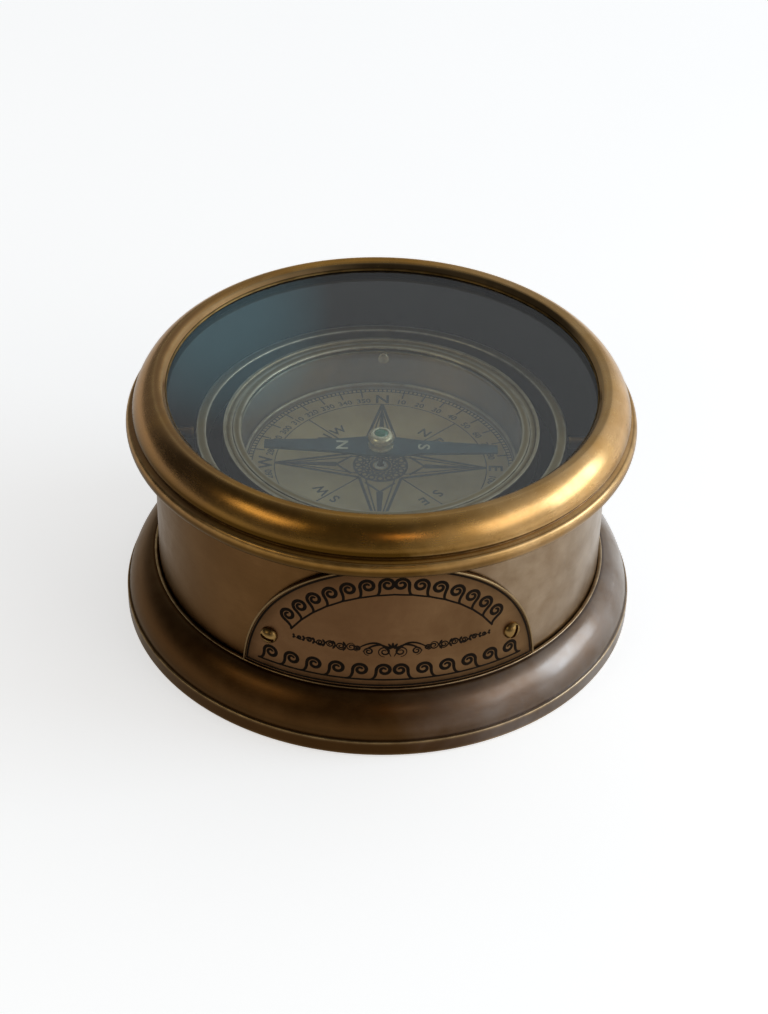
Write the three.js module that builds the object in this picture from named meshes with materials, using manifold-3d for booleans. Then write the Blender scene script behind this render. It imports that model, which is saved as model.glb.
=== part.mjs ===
// Drum compass: a compass bowl in a gimbal, inside a turned brass drum with a glazed screw-on bezel.
// Millimetres, +Z up. The origin is the middle of the underside, and the plaque faces -Y.
import * as THREE from 'three';
import { mergeVertices } from 'three/addons/utils/BufferGeometryUtils.js';
import Module from 'manifold-3d';

const wasm = await Module();
wasm.setup();

// Drum
const DRUM_RADIUS = 44.7;
const DRUM_WALL = 1.8;
const DRUM_LENGTH = 41.4;

// Felt and base plate, let into the underside of the foot
const FELT_THICKNESS = 1.0;
const FELT_PROUD = 0.4;
const PLATE_THICKNESS = 1.2;
const PLATE_CLEARANCE = 0.3;

// Foot
const FOOT_SPREAD = 6.8;
const FOOT_RIM_WALL = 1.7;
const FOOT_BAND_HEIGHT = 3.2;
const FOOT_STEP_IN = 0.5;
const FOOT_STEP_HEIGHT = 0.4;
const SKIRT_HEIGHT = 7.5;
const SKIRT_FLATNESS = 1.3;
const FOOT_LIP_OFFSET = 0.9;
const FOOT_LIP_HEIGHT = 0.5;
const FOOT_GROOVE_DEPTH = 0.7;
const SEAT_CLEARANCE = 0.2;
const LEDGE_THICKNESS = 3.2;
const LEDGE_REACH = 0.4;

// Base screws, countersunk in the plate
const BASE_SCREW_COUNT = 3;
const BASE_SCREW_INSET = 2.1;
const BASE_SCREW_RADIUS = 1.2;
const BASE_SCREW_HEAD_RADIUS = 2.1;
const BASE_SCREW_BITE = 4.0;
const BASE_SCREW_CLEARANCE = 0.3;

// Bezel
const BEZEL_SKIRT = 4.6;
const THREAD_CLEARANCE = 0.4;
const RIM_GAP = 0.2;
const GLASS_LIP_OVERLAP = 2.34;
const GLASS_LIP_DEPTH = 0.8;
const CREST_INSET = 2.57;
const CREST_RISE = 0.7;
const CROWN_WIDTH = 4.24;
const CROWN_FLATNESS = 1.29;
const BEAD_PROUD = 1.33;
const BEAD_BULGE = 0.8;
const BEAD_HEIGHT = 3.0;
const BEZEL_GROOVE_DEPTH = 0.37;
const BEZEL_GROOVE_WIDTH = 1.2;

// Top glass and the split ring that keeps it in the bezel
const GLASS_THICKNESS = 2.4;
const GLASS_EDGE_INSET = 0.5;
const GLASS_CLEARANCE = 0.3;
const RETAINER_HEIGHT = 1.12;
const RETAINER_WIDTH = 1.2;
const RETAINER_SPLIT = 2.0;

// Plaque
const PLAQUE_AZIMUTH_DEG = 4.1;
const PLAQUE_HALF_WIDTH = 30.2;
const PLAQUE_THICKNESS = 0.5;
const PLAQUE_WALL_GAP = 0.2;
const PLAQUE_FOOT_GAP = 0.3;
const PLAQUE_BEZEL_GAP = 0.6;
const PLAQUE_CHORD_DROP = 3.0;
const PLAQUE_BORDER_WIDTH = 0.65;
const PLAQUE_BORDER_HEIGHT = 0.3;
const PLAQUE_SCREW_RISE = 8.4;
const PLAQUE_SCREW_INSET = 4.4;
const PLAQUE_SCREW_HEAD_RADIUS = 1.75;
const PLAQUE_SCREW_HEAD_HEIGHT = 1.4;
const PLAQUE_SCREW_RADIUS = 0.8;
const PLAQUE_SCREW_PAST_WALL = 0.6;
const PLAQUE_SCREW_CLEARANCE = 0.25;
const PLAQUE_SCREW_SLOT_TURNS_DEG = [76, -28];

// Gimbal ring and its pivot screws
const PIVOT_DROP = 10.4;
const RING_GAP = 6.4;
const RING_WIDTH = 2.0;
const RING_HEIGHT = 5.6;
const RING_PIVOT_HEAD_RADIUS = 2.0;
const RING_PIVOT_HEAD_HEIGHT = 1.0;
const RING_PIVOT_HEAD_GAP = 0.2;
const RING_PIVOT_SHANK_RADIUS = 1.2;
const RING_PIVOT_SHOULDER_GAP = 0.5;
const PIVOT_TIP_RADIUS = 0.7;
const PIVOT_TIP_REACH = 1.6;
const PIVOT_CLEARANCE = 0.25;
const SHANK_CLEARANCE = 0.3;

// Compass bowl, measured from the pivot axis
const BOWL_GAP = 3.3;
const BOWL_RIM_LAND = 1.6;
const BOWL_GLASS_LEDGE = 2.0;
const BOWL_GLASS_THICKNESS = 1.2;
const BOWL_GLASS_CLEARANCE = 0.3;
const BOWL_RETAINER_WIDTH = 1.6;
const BOWL_RETAINER_HEIGHT = 0.45;
const BOWL_RIM_LIP = 0.05;
const PIVOT_COVER = 1.4;
const FLANGE_DROP = 2.2;
const FLANGE_TAPER = 1.0;
const BOWL_WALL = 1.6;
const BOWL_FLOOR = 2.4;
const BOWL_CORNER_RADIUS = 6.0;
const DIAL_LEDGE = 2.0;
const WELL_DEPTH = 5.1;
const BOWL_PIVOT_HEAD_RADIUS = 1.1;
const BOWL_PIVOT_HEAD_HEIGHT = 0.6;
const BOWL_PIVOT_HEAD_GAP = 0.2;

// Weight under the bowl
const WEIGHT_RADIUS = 14.0;
const WEIGHT_HEIGHT = 5.2;
const WEIGHT_CHAMFER = 0.8;
const WEIGHT_SCREW_RADIUS = 1.3;
const WEIGHT_SCREW_HEAD_RADIUS = 2.6;
const WEIGHT_SCREW_HEAD_HEIGHT = 1.6;
const WEIGHT_SCREW_PAST_FLOOR = 1.2;
const WEIGHT_SCREW_CLEARANCE = 0.3;

// Dial, pivot post and needle
const DIAL_THICKNESS = 0.5;
const DIAL_CLEARANCE = 0.25;
const DIAL_RING_WIDTH = 0.6;
const DIAL_RING_HEIGHT = 1.4;
const POST_RIVET_RADIUS = 0.9;
const POST_RIVET_LENGTH = 1.4;
const POST_CLEARANCE = 0.25;
const POST_HUB_RADIUS = 1.27;
const POST_HUB_HEIGHT = 0.35;
const POST_PIN_RADIUS = 0.45;
const POST_POINT_LENGTH = 1.2;
const POINT_GAP = 0.25;
const NEEDLE_LIFT = 4.3;
const NEEDLE_THICKNESS = 0.5;
const NEEDLE_TIP_GAP = 4.4;
const NEEDLE_TIP_HALF_WIDTH = 1.3;
const NEEDLE_ARM_HALF_WIDTH = 2.2;
const NEEDLE_ARM_START = 8.0;
const NEEDLE_HUB_HALF_WIDTH = 3.2;
const NEEDLE_HUB_START = 3.0;
const NEEDLE_BORE_RADIUS = 1.2;
const CAP_RADIUS = 2.65;
const CAP_HEIGHT = 3.2;
const CAP_ROUNDING = 1.0;
const CAP_FLANGE_INSET = 0.15;
const CAP_FLANGE_HEIGHT = 0.45;
const CAP_WAIST_INSET = 0.25;
const CAP_WAIST_HEIGHT = 0.35;
const CAP_CLEARANCE = 0.8;
const JEWEL_RADIUS = 1.4;
const JEWEL_CLEARANCE = 0.1;
const JEWEL_PROUD = 0.35;
const JEWEL_DOME = 0.7;
const JEWEL_CROWN = 0.9;
const JEWEL_CUP_RADIUS = 0.9;
const CAP_COLLAR_HEIGHT = 0.5;

// Screw slots
const SLOT_WIDTH_SHARE = 0.2;
const SLOT_DEPTH_SHARE = 0.5;

// Fineness of the round shapes
const CASE_SEGMENTS = 64;
const BOWL_SEGMENTS = 40;
const SMALL_SEGMENTS = 12;
const CURVE_STEPS = 5;
const WELD_TOLERANCE = 1e-5;

// Heights and radii that several pieces share
const recessTop = FELT_THICKNESS + PLATE_THICKNESS;
const footRadius = DRUM_RADIUS + FOOT_SPREAD;
const footTop = FELT_PROUD + FOOT_BAND_HEIGHT + FOOT_STEP_HEIGHT + SKIRT_HEIGHT + FOOT_LIP_HEIGHT;
const recessRadius = footRadius - FOOT_RIM_WALL;
const drumBottom = recessTop + LEDGE_THICKNESS;
const drumTop = drumBottom + DRUM_LENGTH;
const drumInnerRadius = DRUM_RADIUS - DRUM_WALL;
const seatRadius = DRUM_RADIUS + SEAT_CLEARANCE;
const baseScrewCircle = seatRadius + BASE_SCREW_INSET;
const bezelBottom = drumTop - BEZEL_SKIRT;
const retainerBottom = drumTop + RIM_GAP;
const glassBottom = retainerBottom + RETAINER_HEIGHT;
const glassTop = glassBottom + GLASS_THICKNESS;
const glassRadius = DRUM_RADIUS - GLASS_EDGE_INSET;
const pivotHeight = drumTop - PIVOT_DROP;
const ringOuterRadius = drumInnerRadius - RING_GAP;
const ringInnerRadius = ringOuterRadius - RING_WIDTH;
const flangeRadius = ringInnerRadius - BOWL_GAP;
const bowlRabbetRadius = flangeRadius - BOWL_RIM_LAND;
const bowlInnerRadius = bowlRabbetRadius - BOWL_GLASS_LEDGE;
const bowlGlassRadius = bowlRabbetRadius - BOWL_GLASS_CLEARANCE;
const bowlGlassTop = PIVOT_COVER + BOWL_GLASS_THICKNESS;
const bowlRim = bowlGlassTop + BOWL_RETAINER_HEIGHT + BOWL_RIM_LIP;
const capTop = PIVOT_COVER - CAP_CLEARANCE;
const needleTop = capTop - CAP_HEIGHT;
const needleBottom = needleTop - NEEDLE_THICKNESS;
const dialTop = needleBottom - NEEDLE_LIFT;
const dialBottom = dialTop - DIAL_THICKNESS;
const wellFloor = dialBottom - WELL_DEPTH;
const bowlBottom = wellFloor - BOWL_FLOOR;
const weightBottom = bowlBottom - WEIGHT_HEIGHT;
const weightBoreRadius = WEIGHT_SCREW_RADIUS + WEIGHT_SCREW_CLEARANCE;
const jewelTop = CAP_HEIGHT + JEWEL_PROUD;
const jewelCupTop = jewelTop - JEWEL_DOME - JEWEL_CROWN;

const FINISHES = {
  agedBrass: { color: 0x6f5234, roughness: 0.42, metalness: 1 },
  goldBrass: { color: 0xa87b45, roughness: 0.32, metalness: 1 },
  paleBrass: { color: 0x9c8a5e, roughness: 0.4, metalness: 1 },
  steel: { color: 0x8c8c8a, roughness: 0.35, metalness: 1 },
  bluedSteel: { color: 0x2a3f5c, roughness: 0.38, metalness: 1 },
  lead: { color: 0x55585a, roughness: 0.7, metalness: 1 },
  dial: { color: 0xa39a72, roughness: 0.55, metalness: 0.6 },
  jewel: { color: 0x1f7a5a, roughness: 0.1, metalness: 0 },
  felt: { color: 0x1d1a18, roughness: 0.95, metalness: 0 },
  glass: { color: 0xdfe8ea, roughness: 0.03, metalness: 0, transparent: true, opacity: 0.25 },
};

// A closed solid from a three.js geometry, with shared vertices welded and flat slivers on the axis dropped
function solidOf(geometry) {
  geometry.deleteAttribute('normal');
  geometry.deleteAttribute('uv');
  const welded = mergeVertices(geometry, WELD_TOLERANCE);
  const corners = welded.index.array;
  const triangles = [];
  for (let i = 0; i < corners.length; i += 3) {
    const [a, b, c] = corners.slice(i, i + 3);
    if (a !== b && b !== c && c !== a) {
      triangles.push(a, b, c);
    }
  }
  return new wasm.Manifold(new wasm.Mesh({
    numProp: 3,
    vertProperties: new Float32Array(welded.attributes.position.array),
    triVerts: new Uint32Array(triangles),
  }));
}

// A solid of revolution about Z from a closed [radius, height] outline, listed anticlockwise
function turned(outline, segments) {
  const points = [...outline, outline[0]].map(([radius, height]) => new THREE.Vector2(radius, height));
  return solidOf(new THREE.LatheGeometry(points, segments).rotateX(Math.PI / 2));
}

function tube(innerRadius, outerRadius, bottom, top, segments) {
  return turned([
    [innerRadius, bottom],
    [outerRadius, bottom],
    [outerRadius, top],
    [innerRadius, top],
  ], segments);
}

function disc(radius, bottom, top, segments) {
  return turned([[0, bottom], [radius, bottom], [radius, top], [0, top]], segments);
}

// A round cutter through the middle of a piece, along the direction given as a turn of the Z axis
function drill(radius, from, to, turn) {
  const bit = new THREE.CylinderGeometry(radius, radius, to - from, SMALL_SEGMENTS);
  bit.rotateX(Math.PI / 2).translate(0, 0, (from + to) / 2);
  return solidOf(bit.applyMatrix4(new THREE.Matrix4().makeRotationFromQuaternion(turn)));
}

// The turn that lays the Z axis level, pointing to an azimuth measured from the front (-Y) towards +X
function levelTurn(azimuth) {
  const direction = new THREE.Vector3(Math.sin(azimuth), -Math.cos(azimuth), 0);
  return new THREE.Quaternion().setFromUnitVectors(new THREE.Vector3(0, 0, 1), direction);
}

// A convex moulding from its outer foot up to its top, a quarter of a flattened oval
function ovolo(centreRadius, centreHeight, width, height, flatness) {
  const points = [];
  for (let i = 0; i <= CURVE_STEPS; i += 1) {
    const turn = (Math.PI / 2) * (i / CURVE_STEPS);
    const out = i === CURVE_STEPS ? 0 : Math.cos(turn) ** flatness;
    points.push([centreRadius + width * out, centreHeight + height * Math.sin(turn) ** flatness]);
  }
  return points;
}

// A screw turned about Z, with its seat at height 0, its slotted head above and its shank below
function slottedScrew(outline, headRadius, headTop) {
  const width = 2 * headRadius * SLOT_WIDTH_SHARE;
  const depth = headTop * SLOT_DEPTH_SHARE;
  const slot = new THREE.BoxGeometry(width, 3 * headRadius, 2 * depth).translate(0, 0, headTop);
  return turned(outline, SMALL_SEGMENTS).subtract(solidOf(slot));
}

function piece(name, solid, finish) {
  const { vertProperties, triVerts } = solid.getMesh();
  const geometry = new THREE.BufferGeometry();
  geometry.setAttribute('position', new THREE.BufferAttribute(vertProperties, 3));
  geometry.setIndex(new THREE.BufferAttribute(triVerts, 1));
  geometry.computeVertexNormals();
  const mesh = new THREE.Mesh(geometry, new THREE.MeshStandardMaterial(finish));
  mesh.name = name;
  return mesh;
}

// The azimuths of the base screws, with the first one at the back
function baseScrewAzimuths() {
  return Array.from({ length: BASE_SCREW_COUNT }, (_, i) => Math.PI + (i * 2 * Math.PI) / BASE_SCREW_COUNT);
}

function baseScrewPlace(azimuth) {
  return new THREE.Vector3(Math.sin(azimuth), -Math.cos(azimuth), 0).multiplyScalar(baseScrewCircle);
}

// The foot ring: a band, a convex skirt and a lip, with the drum's seat above and the plate's recess below
function footSolid() {
  const bandTop = FELT_PROUD + FOOT_BAND_HEIGHT;
  const skirtBottom = bandTop + FOOT_STEP_HEIGHT;
  const lipRadius = DRUM_RADIUS + FOOT_LIP_OFFSET;
  const skirtWidth = footRadius - FOOT_STEP_IN - lipRadius;
  const ledgeRadius = drumInnerRadius - LEDGE_REACH;
  const ring = turned([
    [ledgeRadius, recessTop],
    [recessRadius, recessTop],
    [recessRadius, FELT_PROUD],
    [footRadius, FELT_PROUD],
    [footRadius, bandTop],
    ...ovolo(lipRadius, skirtBottom, skirtWidth, SKIRT_HEIGHT, SKIRT_FLATNESS),
    [lipRadius, footTop],
    [seatRadius, footTop - FOOT_GROOVE_DEPTH],
    [seatRadius, drumBottom],
    [ledgeRadius, drumBottom],
  ], CASE_SEGMENTS);
  const upright = new THREE.Quaternion();
  const hole = drill(BASE_SCREW_RADIUS + BASE_SCREW_CLEARANCE, 0,
    recessTop + BASE_SCREW_BITE + BASE_SCREW_CLEARANCE, upright);
  return baseScrewAzimuths().reduce(
    (solid, azimuth) => solid.subtract(hole.translate(baseScrewPlace(azimuth).toArray())), ring);
}

function basePlateSolid() {
  const plate = disc(recessRadius - PLATE_CLEARANCE, FELT_THICKNESS, recessTop, CASE_SEGMENTS);
  const hole = turned([
    [0, 0],
    [BASE_SCREW_HEAD_RADIUS + BASE_SCREW_CLEARANCE, 0],
    [BASE_SCREW_HEAD_RADIUS + BASE_SCREW_CLEARANCE, FELT_THICKNESS],
    [BASE_SCREW_RADIUS + BASE_SCREW_CLEARANCE, recessTop],
    [BASE_SCREW_RADIUS + BASE_SCREW_CLEARANCE, 2 * recessTop],
    [0, 2 * recessTop],
  ], SMALL_SEGMENTS);
  return baseScrewAzimuths().reduce(
    (solid, azimuth) => solid.subtract(hole.translate(baseScrewPlace(azimuth).toArray())), plate);
}

// A countersunk screw, head down, flush with the underside of the base plate
function baseScrewSolid() {
  const outline = [
    [0, -PLATE_THICKNESS - BASE_SCREW_BITE],
    [BASE_SCREW_RADIUS, -PLATE_THICKNESS - BASE_SCREW_BITE],
    [BASE_SCREW_RADIUS, -PLATE_THICKNESS],
    [BASE_SCREW_HEAD_RADIUS, 0],
    [0, 0],
  ];
  const slot = new THREE.BoxGeometry(2 * BASE_SCREW_HEAD_RADIUS * SLOT_WIDTH_SHARE,
    3 * BASE_SCREW_HEAD_RADIUS, PLATE_THICKNESS * SLOT_DEPTH_SHARE);
  return turned(outline, SMALL_SEGMENTS).subtract(solidOf(slot));
}

// The plaque's outline, unrolled: an oval drawn in by a margin and cut off at a height over its middle
function plaqueOutline(margin, cutHeight, faceRadius) {
  const bottom = footTop + PLAQUE_FOOT_GAP;
  const centre = bottom - PLAQUE_CHORD_DROP;
  const halfHeight = bezelBottom - PLAQUE_BEZEL_GAP - centre - margin;
  const halfWidth = PLAQUE_HALF_WIDTH - margin;
  const start = Math.asin(cutHeight / halfHeight);
  const steps = 4 * CURVE_STEPS;
  const points = [];
  for (let i = 0; i <= steps; i += 1) {
    const turn = start + (Math.PI - 2 * start) * (i / steps);
    const along = halfWidth * Math.cos(turn);
    const height = centre + halfHeight * Math.sin(turn);
    points.push(new THREE.Vector2(faceRadius * Math.sin(along / faceRadius), height));
  }
  return points;
}

// How far along the wall a plaque screw sits from the plaque's middle
function plaqueScrewReach() {
  const centre = footTop + PLAQUE_FOOT_GAP - PLAQUE_CHORD_DROP;
  const rise = (PLAQUE_CHORD_DROP + PLAQUE_SCREW_RISE) / (bezelBottom - PLAQUE_BEZEL_GAP - centre);
  return PLAQUE_HALF_WIDTH * Math.sqrt(1 - rise * rise) - PLAQUE_SCREW_INSET;
}

function plaqueScrewAzimuth(side) {
  const faceRadius = DRUM_RADIUS + PLAQUE_WALL_GAP + PLAQUE_THICKNESS;
  return THREE.MathUtils.degToRad(PLAQUE_AZIMUTH_DEG) + side * plaqueScrewReach() / faceRadius;
}

function plaqueScrewHeight() {
  return footTop + PLAQUE_FOOT_GAP + PLAQUE_SCREW_RISE;
}

// A cutter for one plaque screw, through the plaque and the wall
function plaqueScrewDrill(side) {
  const hole = drill(PLAQUE_SCREW_RADIUS + PLAQUE_SCREW_CLEARANCE, drumInnerRadius / 2, 2 * DRUM_RADIUS,
    levelTurn(plaqueScrewAzimuth(side)));
  return hole.translate([0, 0, plaqueScrewHeight()]);
}

// The plate: a bent half-moon sheet with a raised border along its arch
function plaqueSolid() {
  const backRadius = DRUM_RADIUS + PLAQUE_WALL_GAP;
  const fieldRadius = backRadius + PLAQUE_THICKNESS;
  const borderRadius = fieldRadius + PLAQUE_BORDER_HEIGHT;
  const prism = (margin, cutHeight) => solidOf(new THREE.ExtrudeGeometry(
    new THREE.Shape(plaqueOutline(margin, cutHeight, fieldRadius)),
    { depth: 2 * DRUM_RADIUS, bevelEnabled: false },
  ).rotateX(Math.PI / 2));
  const sheet = tube(backRadius, borderRadius, 0, drumTop, CASE_SEGMENTS)
    .intersect(prism(0, PLAQUE_CHORD_DROP));
  const field = tube(fieldRadius, 2 * borderRadius, 0, drumTop, CASE_SEGMENTS)
    .intersect(prism(PLAQUE_BORDER_WIDTH, 0));
  const bent = sheet.subtract(field).rotate([0, 0, PLAQUE_AZIMUTH_DEG]);
  return bent.subtract(plaqueScrewDrill(-1)).subtract(plaqueScrewDrill(1));
}

// A round-head screw whose seat is the plaque's field
function plaqueScrewSolid() {
  const length = PLAQUE_THICKNESS + PLAQUE_WALL_GAP + DRUM_WALL + PLAQUE_SCREW_PAST_WALL;
  const outline = [
    [0, -length],
    [PLAQUE_SCREW_RADIUS, -length],
    [PLAQUE_SCREW_RADIUS, 0],
    ...ovolo(0, 0, PLAQUE_SCREW_HEAD_RADIUS, PLAQUE_SCREW_HEAD_HEIGHT, 1),
  ];
  return slottedScrew(outline, PLAQUE_SCREW_HEAD_RADIUS, PLAQUE_SCREW_HEAD_HEIGHT);
}

function drumSolid() {
  const wall = tube(drumInnerRadius, DRUM_RADIUS, drumBottom, drumTop, CASE_SEGMENTS);
  const pivotHoles = drill(RING_PIVOT_SHANK_RADIUS + SHANK_CLEARANCE, -2 * DRUM_RADIUS, 2 * DRUM_RADIUS,
    levelTurn(Math.PI / 2)).translate([0, 0, pivotHeight]);
  return wall.subtract(pivotHoles).subtract(plaqueScrewDrill(-1)).subtract(plaqueScrewDrill(1));
}

// A pivot screw from the drum into the gimbal ring, with its seat on the outside of the drum
function ringPivotSolid() {
  const shank = DRUM_RADIUS + RING_PIVOT_HEAD_GAP - ringOuterRadius - RING_PIVOT_SHOULDER_GAP;
  const tip = shank + RING_PIVOT_SHOULDER_GAP + PIVOT_TIP_REACH;
  const outline = [
    [0, -tip],
    [PIVOT_TIP_RADIUS, -tip],
    [PIVOT_TIP_RADIUS, -shank],
    [RING_PIVOT_SHANK_RADIUS, -shank],
    [RING_PIVOT_SHANK_RADIUS, 0],
    [RING_PIVOT_HEAD_RADIUS, 0],
    [RING_PIVOT_HEAD_RADIUS, RING_PIVOT_HEAD_HEIGHT],
    [0, RING_PIVOT_HEAD_HEIGHT],
  ];
  return slottedScrew(outline, RING_PIVOT_HEAD_RADIUS, RING_PIVOT_HEAD_HEIGHT);
}

function buildCase() {
  const group = new THREE.Group();
  const felt = disc(recessRadius - PLATE_CLEARANCE, 0, FELT_THICKNESS, CASE_SEGMENTS);
  group.add(piece('felt_pad', felt, FINISHES.felt));
  group.add(piece('base_plate', basePlateSolid(), FINISHES.agedBrass));
  baseScrewAzimuths().forEach((azimuth, i) => {
    const screw = piece(`base_screw_${i + 1}`, baseScrewSolid(), FINISHES.steel);
    screw.position.copy(baseScrewPlace(azimuth)).setZ(FELT_THICKNESS);
    screw.rotation.x = Math.PI;
    group.add(screw);
  });
  group.add(piece('base_foot', footSolid(), FINISHES.agedBrass));
  group.add(piece('drum_wall', drumSolid(), FINISHES.agedBrass));
  group.add(piece('plaque', plaqueSolid(), FINISHES.agedBrass));
  [['left', -1], ['right', 1]].forEach(([side, sign], i) => {
    const azimuth = plaqueScrewAzimuth(sign);
    const seat = DRUM_RADIUS + PLAQUE_WALL_GAP + PLAQUE_THICKNESS;
    const screw = piece(`plaque_screw_${side}`, plaqueScrewSolid(), FINISHES.goldBrass);
    screw.quaternion.copy(levelTurn(azimuth));
    screw.rotateZ(THREE.MathUtils.degToRad(PLAQUE_SCREW_SLOT_TURNS_DEG[i]));
    screw.position.set(seat * Math.sin(azimuth), -seat * Math.cos(azimuth), plaqueScrewHeight());
    group.add(screw);
    const pivot = piece(`ring_pivot_${side}`, ringPivotSolid(), FINISHES.goldBrass);
    pivot.quaternion.copy(levelTurn(sign * Math.PI / 2));
    pivot.position.set(sign * (DRUM_RADIUS + RING_PIVOT_HEAD_GAP), 0, pivotHeight);
    group.add(pivot);
  });
  return group;
}

// The bezel ring: a bead and a groove under a rounded crown, bored for the drum, with a rabbet for the glass
function bezelSolid() {
  const lipRadius = glassRadius - GLASS_LIP_OVERLAP;
  const crestRadius = lipRadius + CREST_INSET;
  const crownRadius = crestRadius + CROWN_WIDTH;
  const beadRadius = crownRadius + BEAD_PROUD;
  const beadTop = bezelBottom + BEAD_HEIGHT;
  const crownBottom = beadTop + BEZEL_GROOVE_WIDTH;
  const lipTop = glassTop + GLASS_LIP_DEPTH;
  const crownHeight = lipTop + CREST_RISE - crownBottom;
  const boreRadius = DRUM_RADIUS + THREAD_CLEARANCE;
  const rabbetRadius = glassRadius + GLASS_CLEARANCE;
  const beadMiddle = bezelBottom + BEAD_HEIGHT / 2;
  const upperBead = ovolo(beadRadius - BEAD_BULGE, beadMiddle, BEAD_BULGE, BEAD_HEIGHT / 2, 1);
  const lowerBead = upperBead.slice(1).reverse().map(([radius, height]) => [radius, 2 * beadMiddle - height]);
  const innerCrown = ovolo(0, lipTop, CREST_INSET, CREST_RISE, 1).reverse().slice(1)
    .map(([inset, height]) => [crestRadius - inset, height]);
  return turned([
    [boreRadius, bezelBottom],
    ...lowerBead,
    ...upperBead,
    [crownRadius - BEZEL_GROOVE_DEPTH, beadTop + BEZEL_GROOVE_WIDTH / 3],
    [crownRadius - BEZEL_GROOVE_DEPTH, crownBottom - BEZEL_GROOVE_WIDTH / 3],
    ...ovolo(crestRadius, crownBottom, CROWN_WIDTH, crownHeight, CROWN_FLATNESS),
    ...innerCrown,
    [lipRadius, glassTop],
    [rabbetRadius, glassTop],
    [rabbetRadius, retainerBottom],
    [boreRadius, retainerBottom],
  ], CASE_SEGMENTS);
}

function retainerSolid() {
  const ring = tube(glassRadius - RETAINER_WIDTH, glassRadius, retainerBottom, glassBottom, CASE_SEGMENTS);
  const split = new THREE.BoxGeometry(RETAINER_SPLIT, glassRadius, 2 * drumTop);
  return ring.subtract(solidOf(split.translate(0, -glassRadius, drumTop)));
}

function buildBezel() {
  const group = new THREE.Group();
  group.add(piece('bezel_ring', bezelSolid(), FINISHES.goldBrass));
  group.add(piece('top_glass', disc(glassRadius, glassBottom, glassTop, CASE_SEGMENTS), FINISHES.glass));
  group.add(piece('glass_retaining_ring', retainerSolid(), FINISHES.steel));
  return group;
}

// The gimbal ring, drilled for the drum's pivots on X and the bowl's pivots on Y
function gimbalRingSolid() {
  const ring = tube(ringInnerRadius, ringOuterRadius, -RING_HEIGHT / 2, RING_HEIGHT / 2, BOWL_SEGMENTS);
  const holes = [0, Math.PI / 2].map((azimuth) => drill(PIVOT_TIP_RADIUS + PIVOT_CLEARANCE,
    -2 * ringOuterRadius, 2 * ringOuterRadius, levelTurn(azimuth)));
  return ring.subtract(holes[0]).subtract(holes[1]);
}

// The bowl: a flanged cup with a rabbet for its glass, a ledge for the dial and a well under it
function bowlSolid() {
  const bodyRadius = bowlInnerRadius + BOWL_WALL;
  const wellRadius = bowlInnerRadius - DIAL_LEDGE;
  const corner = ovolo(bodyRadius - BOWL_CORNER_RADIUS, -bowlBottom - BOWL_CORNER_RADIUS,
    BOWL_CORNER_RADIUS, BOWL_CORNER_RADIUS, 1).reverse().map(([radius, depth]) => [radius, -depth]);
  const cup = turned([
    [weightBoreRadius, bowlBottom],
    ...corner,
    [bodyRadius, -FLANGE_DROP - FLANGE_TAPER],
    [flangeRadius, -FLANGE_DROP],
    [flangeRadius, bowlRim],
    [bowlRabbetRadius, bowlRim],
    [bowlRabbetRadius, PIVOT_COVER],
    [bowlInnerRadius, PIVOT_COVER],
    [bowlInnerRadius, dialBottom],
    [wellRadius, dialBottom],
    [wellRadius, wellFloor],
    [weightBoreRadius, wellFloor],
  ], BOWL_SEGMENTS);
  const pivotBore = PIVOT_TIP_RADIUS + PIVOT_CLEARANCE;
  const pivotHoles = drill(pivotBore, -2 * flangeRadius, 2 * flangeRadius, levelTurn(0));
  return cup.subtract(pivotHoles);
}

// A pivot screw from the inside of the bowl out into the gimbal ring, with its seat on the bowl's wall
function bowlPivotSolid() {
  const length = ringInnerRadius + PIVOT_TIP_REACH - bowlInnerRadius + BOWL_PIVOT_HEAD_GAP;
  const outline = [
    [0, -length],
    [PIVOT_TIP_RADIUS, -length],
    [PIVOT_TIP_RADIUS, 0],
    [BOWL_PIVOT_HEAD_RADIUS, 0],
    [BOWL_PIVOT_HEAD_RADIUS, BOWL_PIVOT_HEAD_HEIGHT],
    [0, BOWL_PIVOT_HEAD_HEIGHT],
  ];
  return slottedScrew(outline, BOWL_PIVOT_HEAD_RADIUS, BOWL_PIVOT_HEAD_HEIGHT);
}

function weightSolid() {
  return turned([
    [weightBoreRadius, weightBottom],
    [WEIGHT_RADIUS - WEIGHT_CHAMFER, weightBottom],
    [WEIGHT_RADIUS, weightBottom + WEIGHT_CHAMFER],
    [WEIGHT_RADIUS, bowlBottom],
    [weightBoreRadius, bowlBottom],
  ], BOWL_SEGMENTS);
}

function weightScrewSolid() {
  const length = WEIGHT_HEIGHT + BOWL_FLOOR + WEIGHT_SCREW_PAST_FLOOR;
  const outline = [
    [0, -length],
    [WEIGHT_SCREW_RADIUS, -length],
    [WEIGHT_SCREW_RADIUS, 0],
    ...ovolo(0, 0, WEIGHT_SCREW_HEAD_RADIUS, WEIGHT_SCREW_HEAD_HEIGHT, 1),
  ];
  return slottedScrew(outline, WEIGHT_SCREW_HEAD_RADIUS, WEIGHT_SCREW_HEAD_HEIGHT);
}

// The post: a rivet through the dial, a low hub and a pin that ends in a point
function pivotPostSolid() {
  const point = needleTop + jewelCupTop - POINT_GAP;
  return turned([
    [0, dialTop - POST_RIVET_LENGTH],
    [POST_RIVET_RADIUS, dialTop - POST_RIVET_LENGTH],
    [POST_RIVET_RADIUS, dialTop],
    ...ovolo(POST_PIN_RADIUS, dialTop, POST_HUB_RADIUS - POST_PIN_RADIUS, POST_HUB_HEIGHT, 1),
    [POST_PIN_RADIUS, point - POST_POINT_LENGTH],
    [0, point],
  ], SMALL_SEGMENTS);
}

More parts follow.
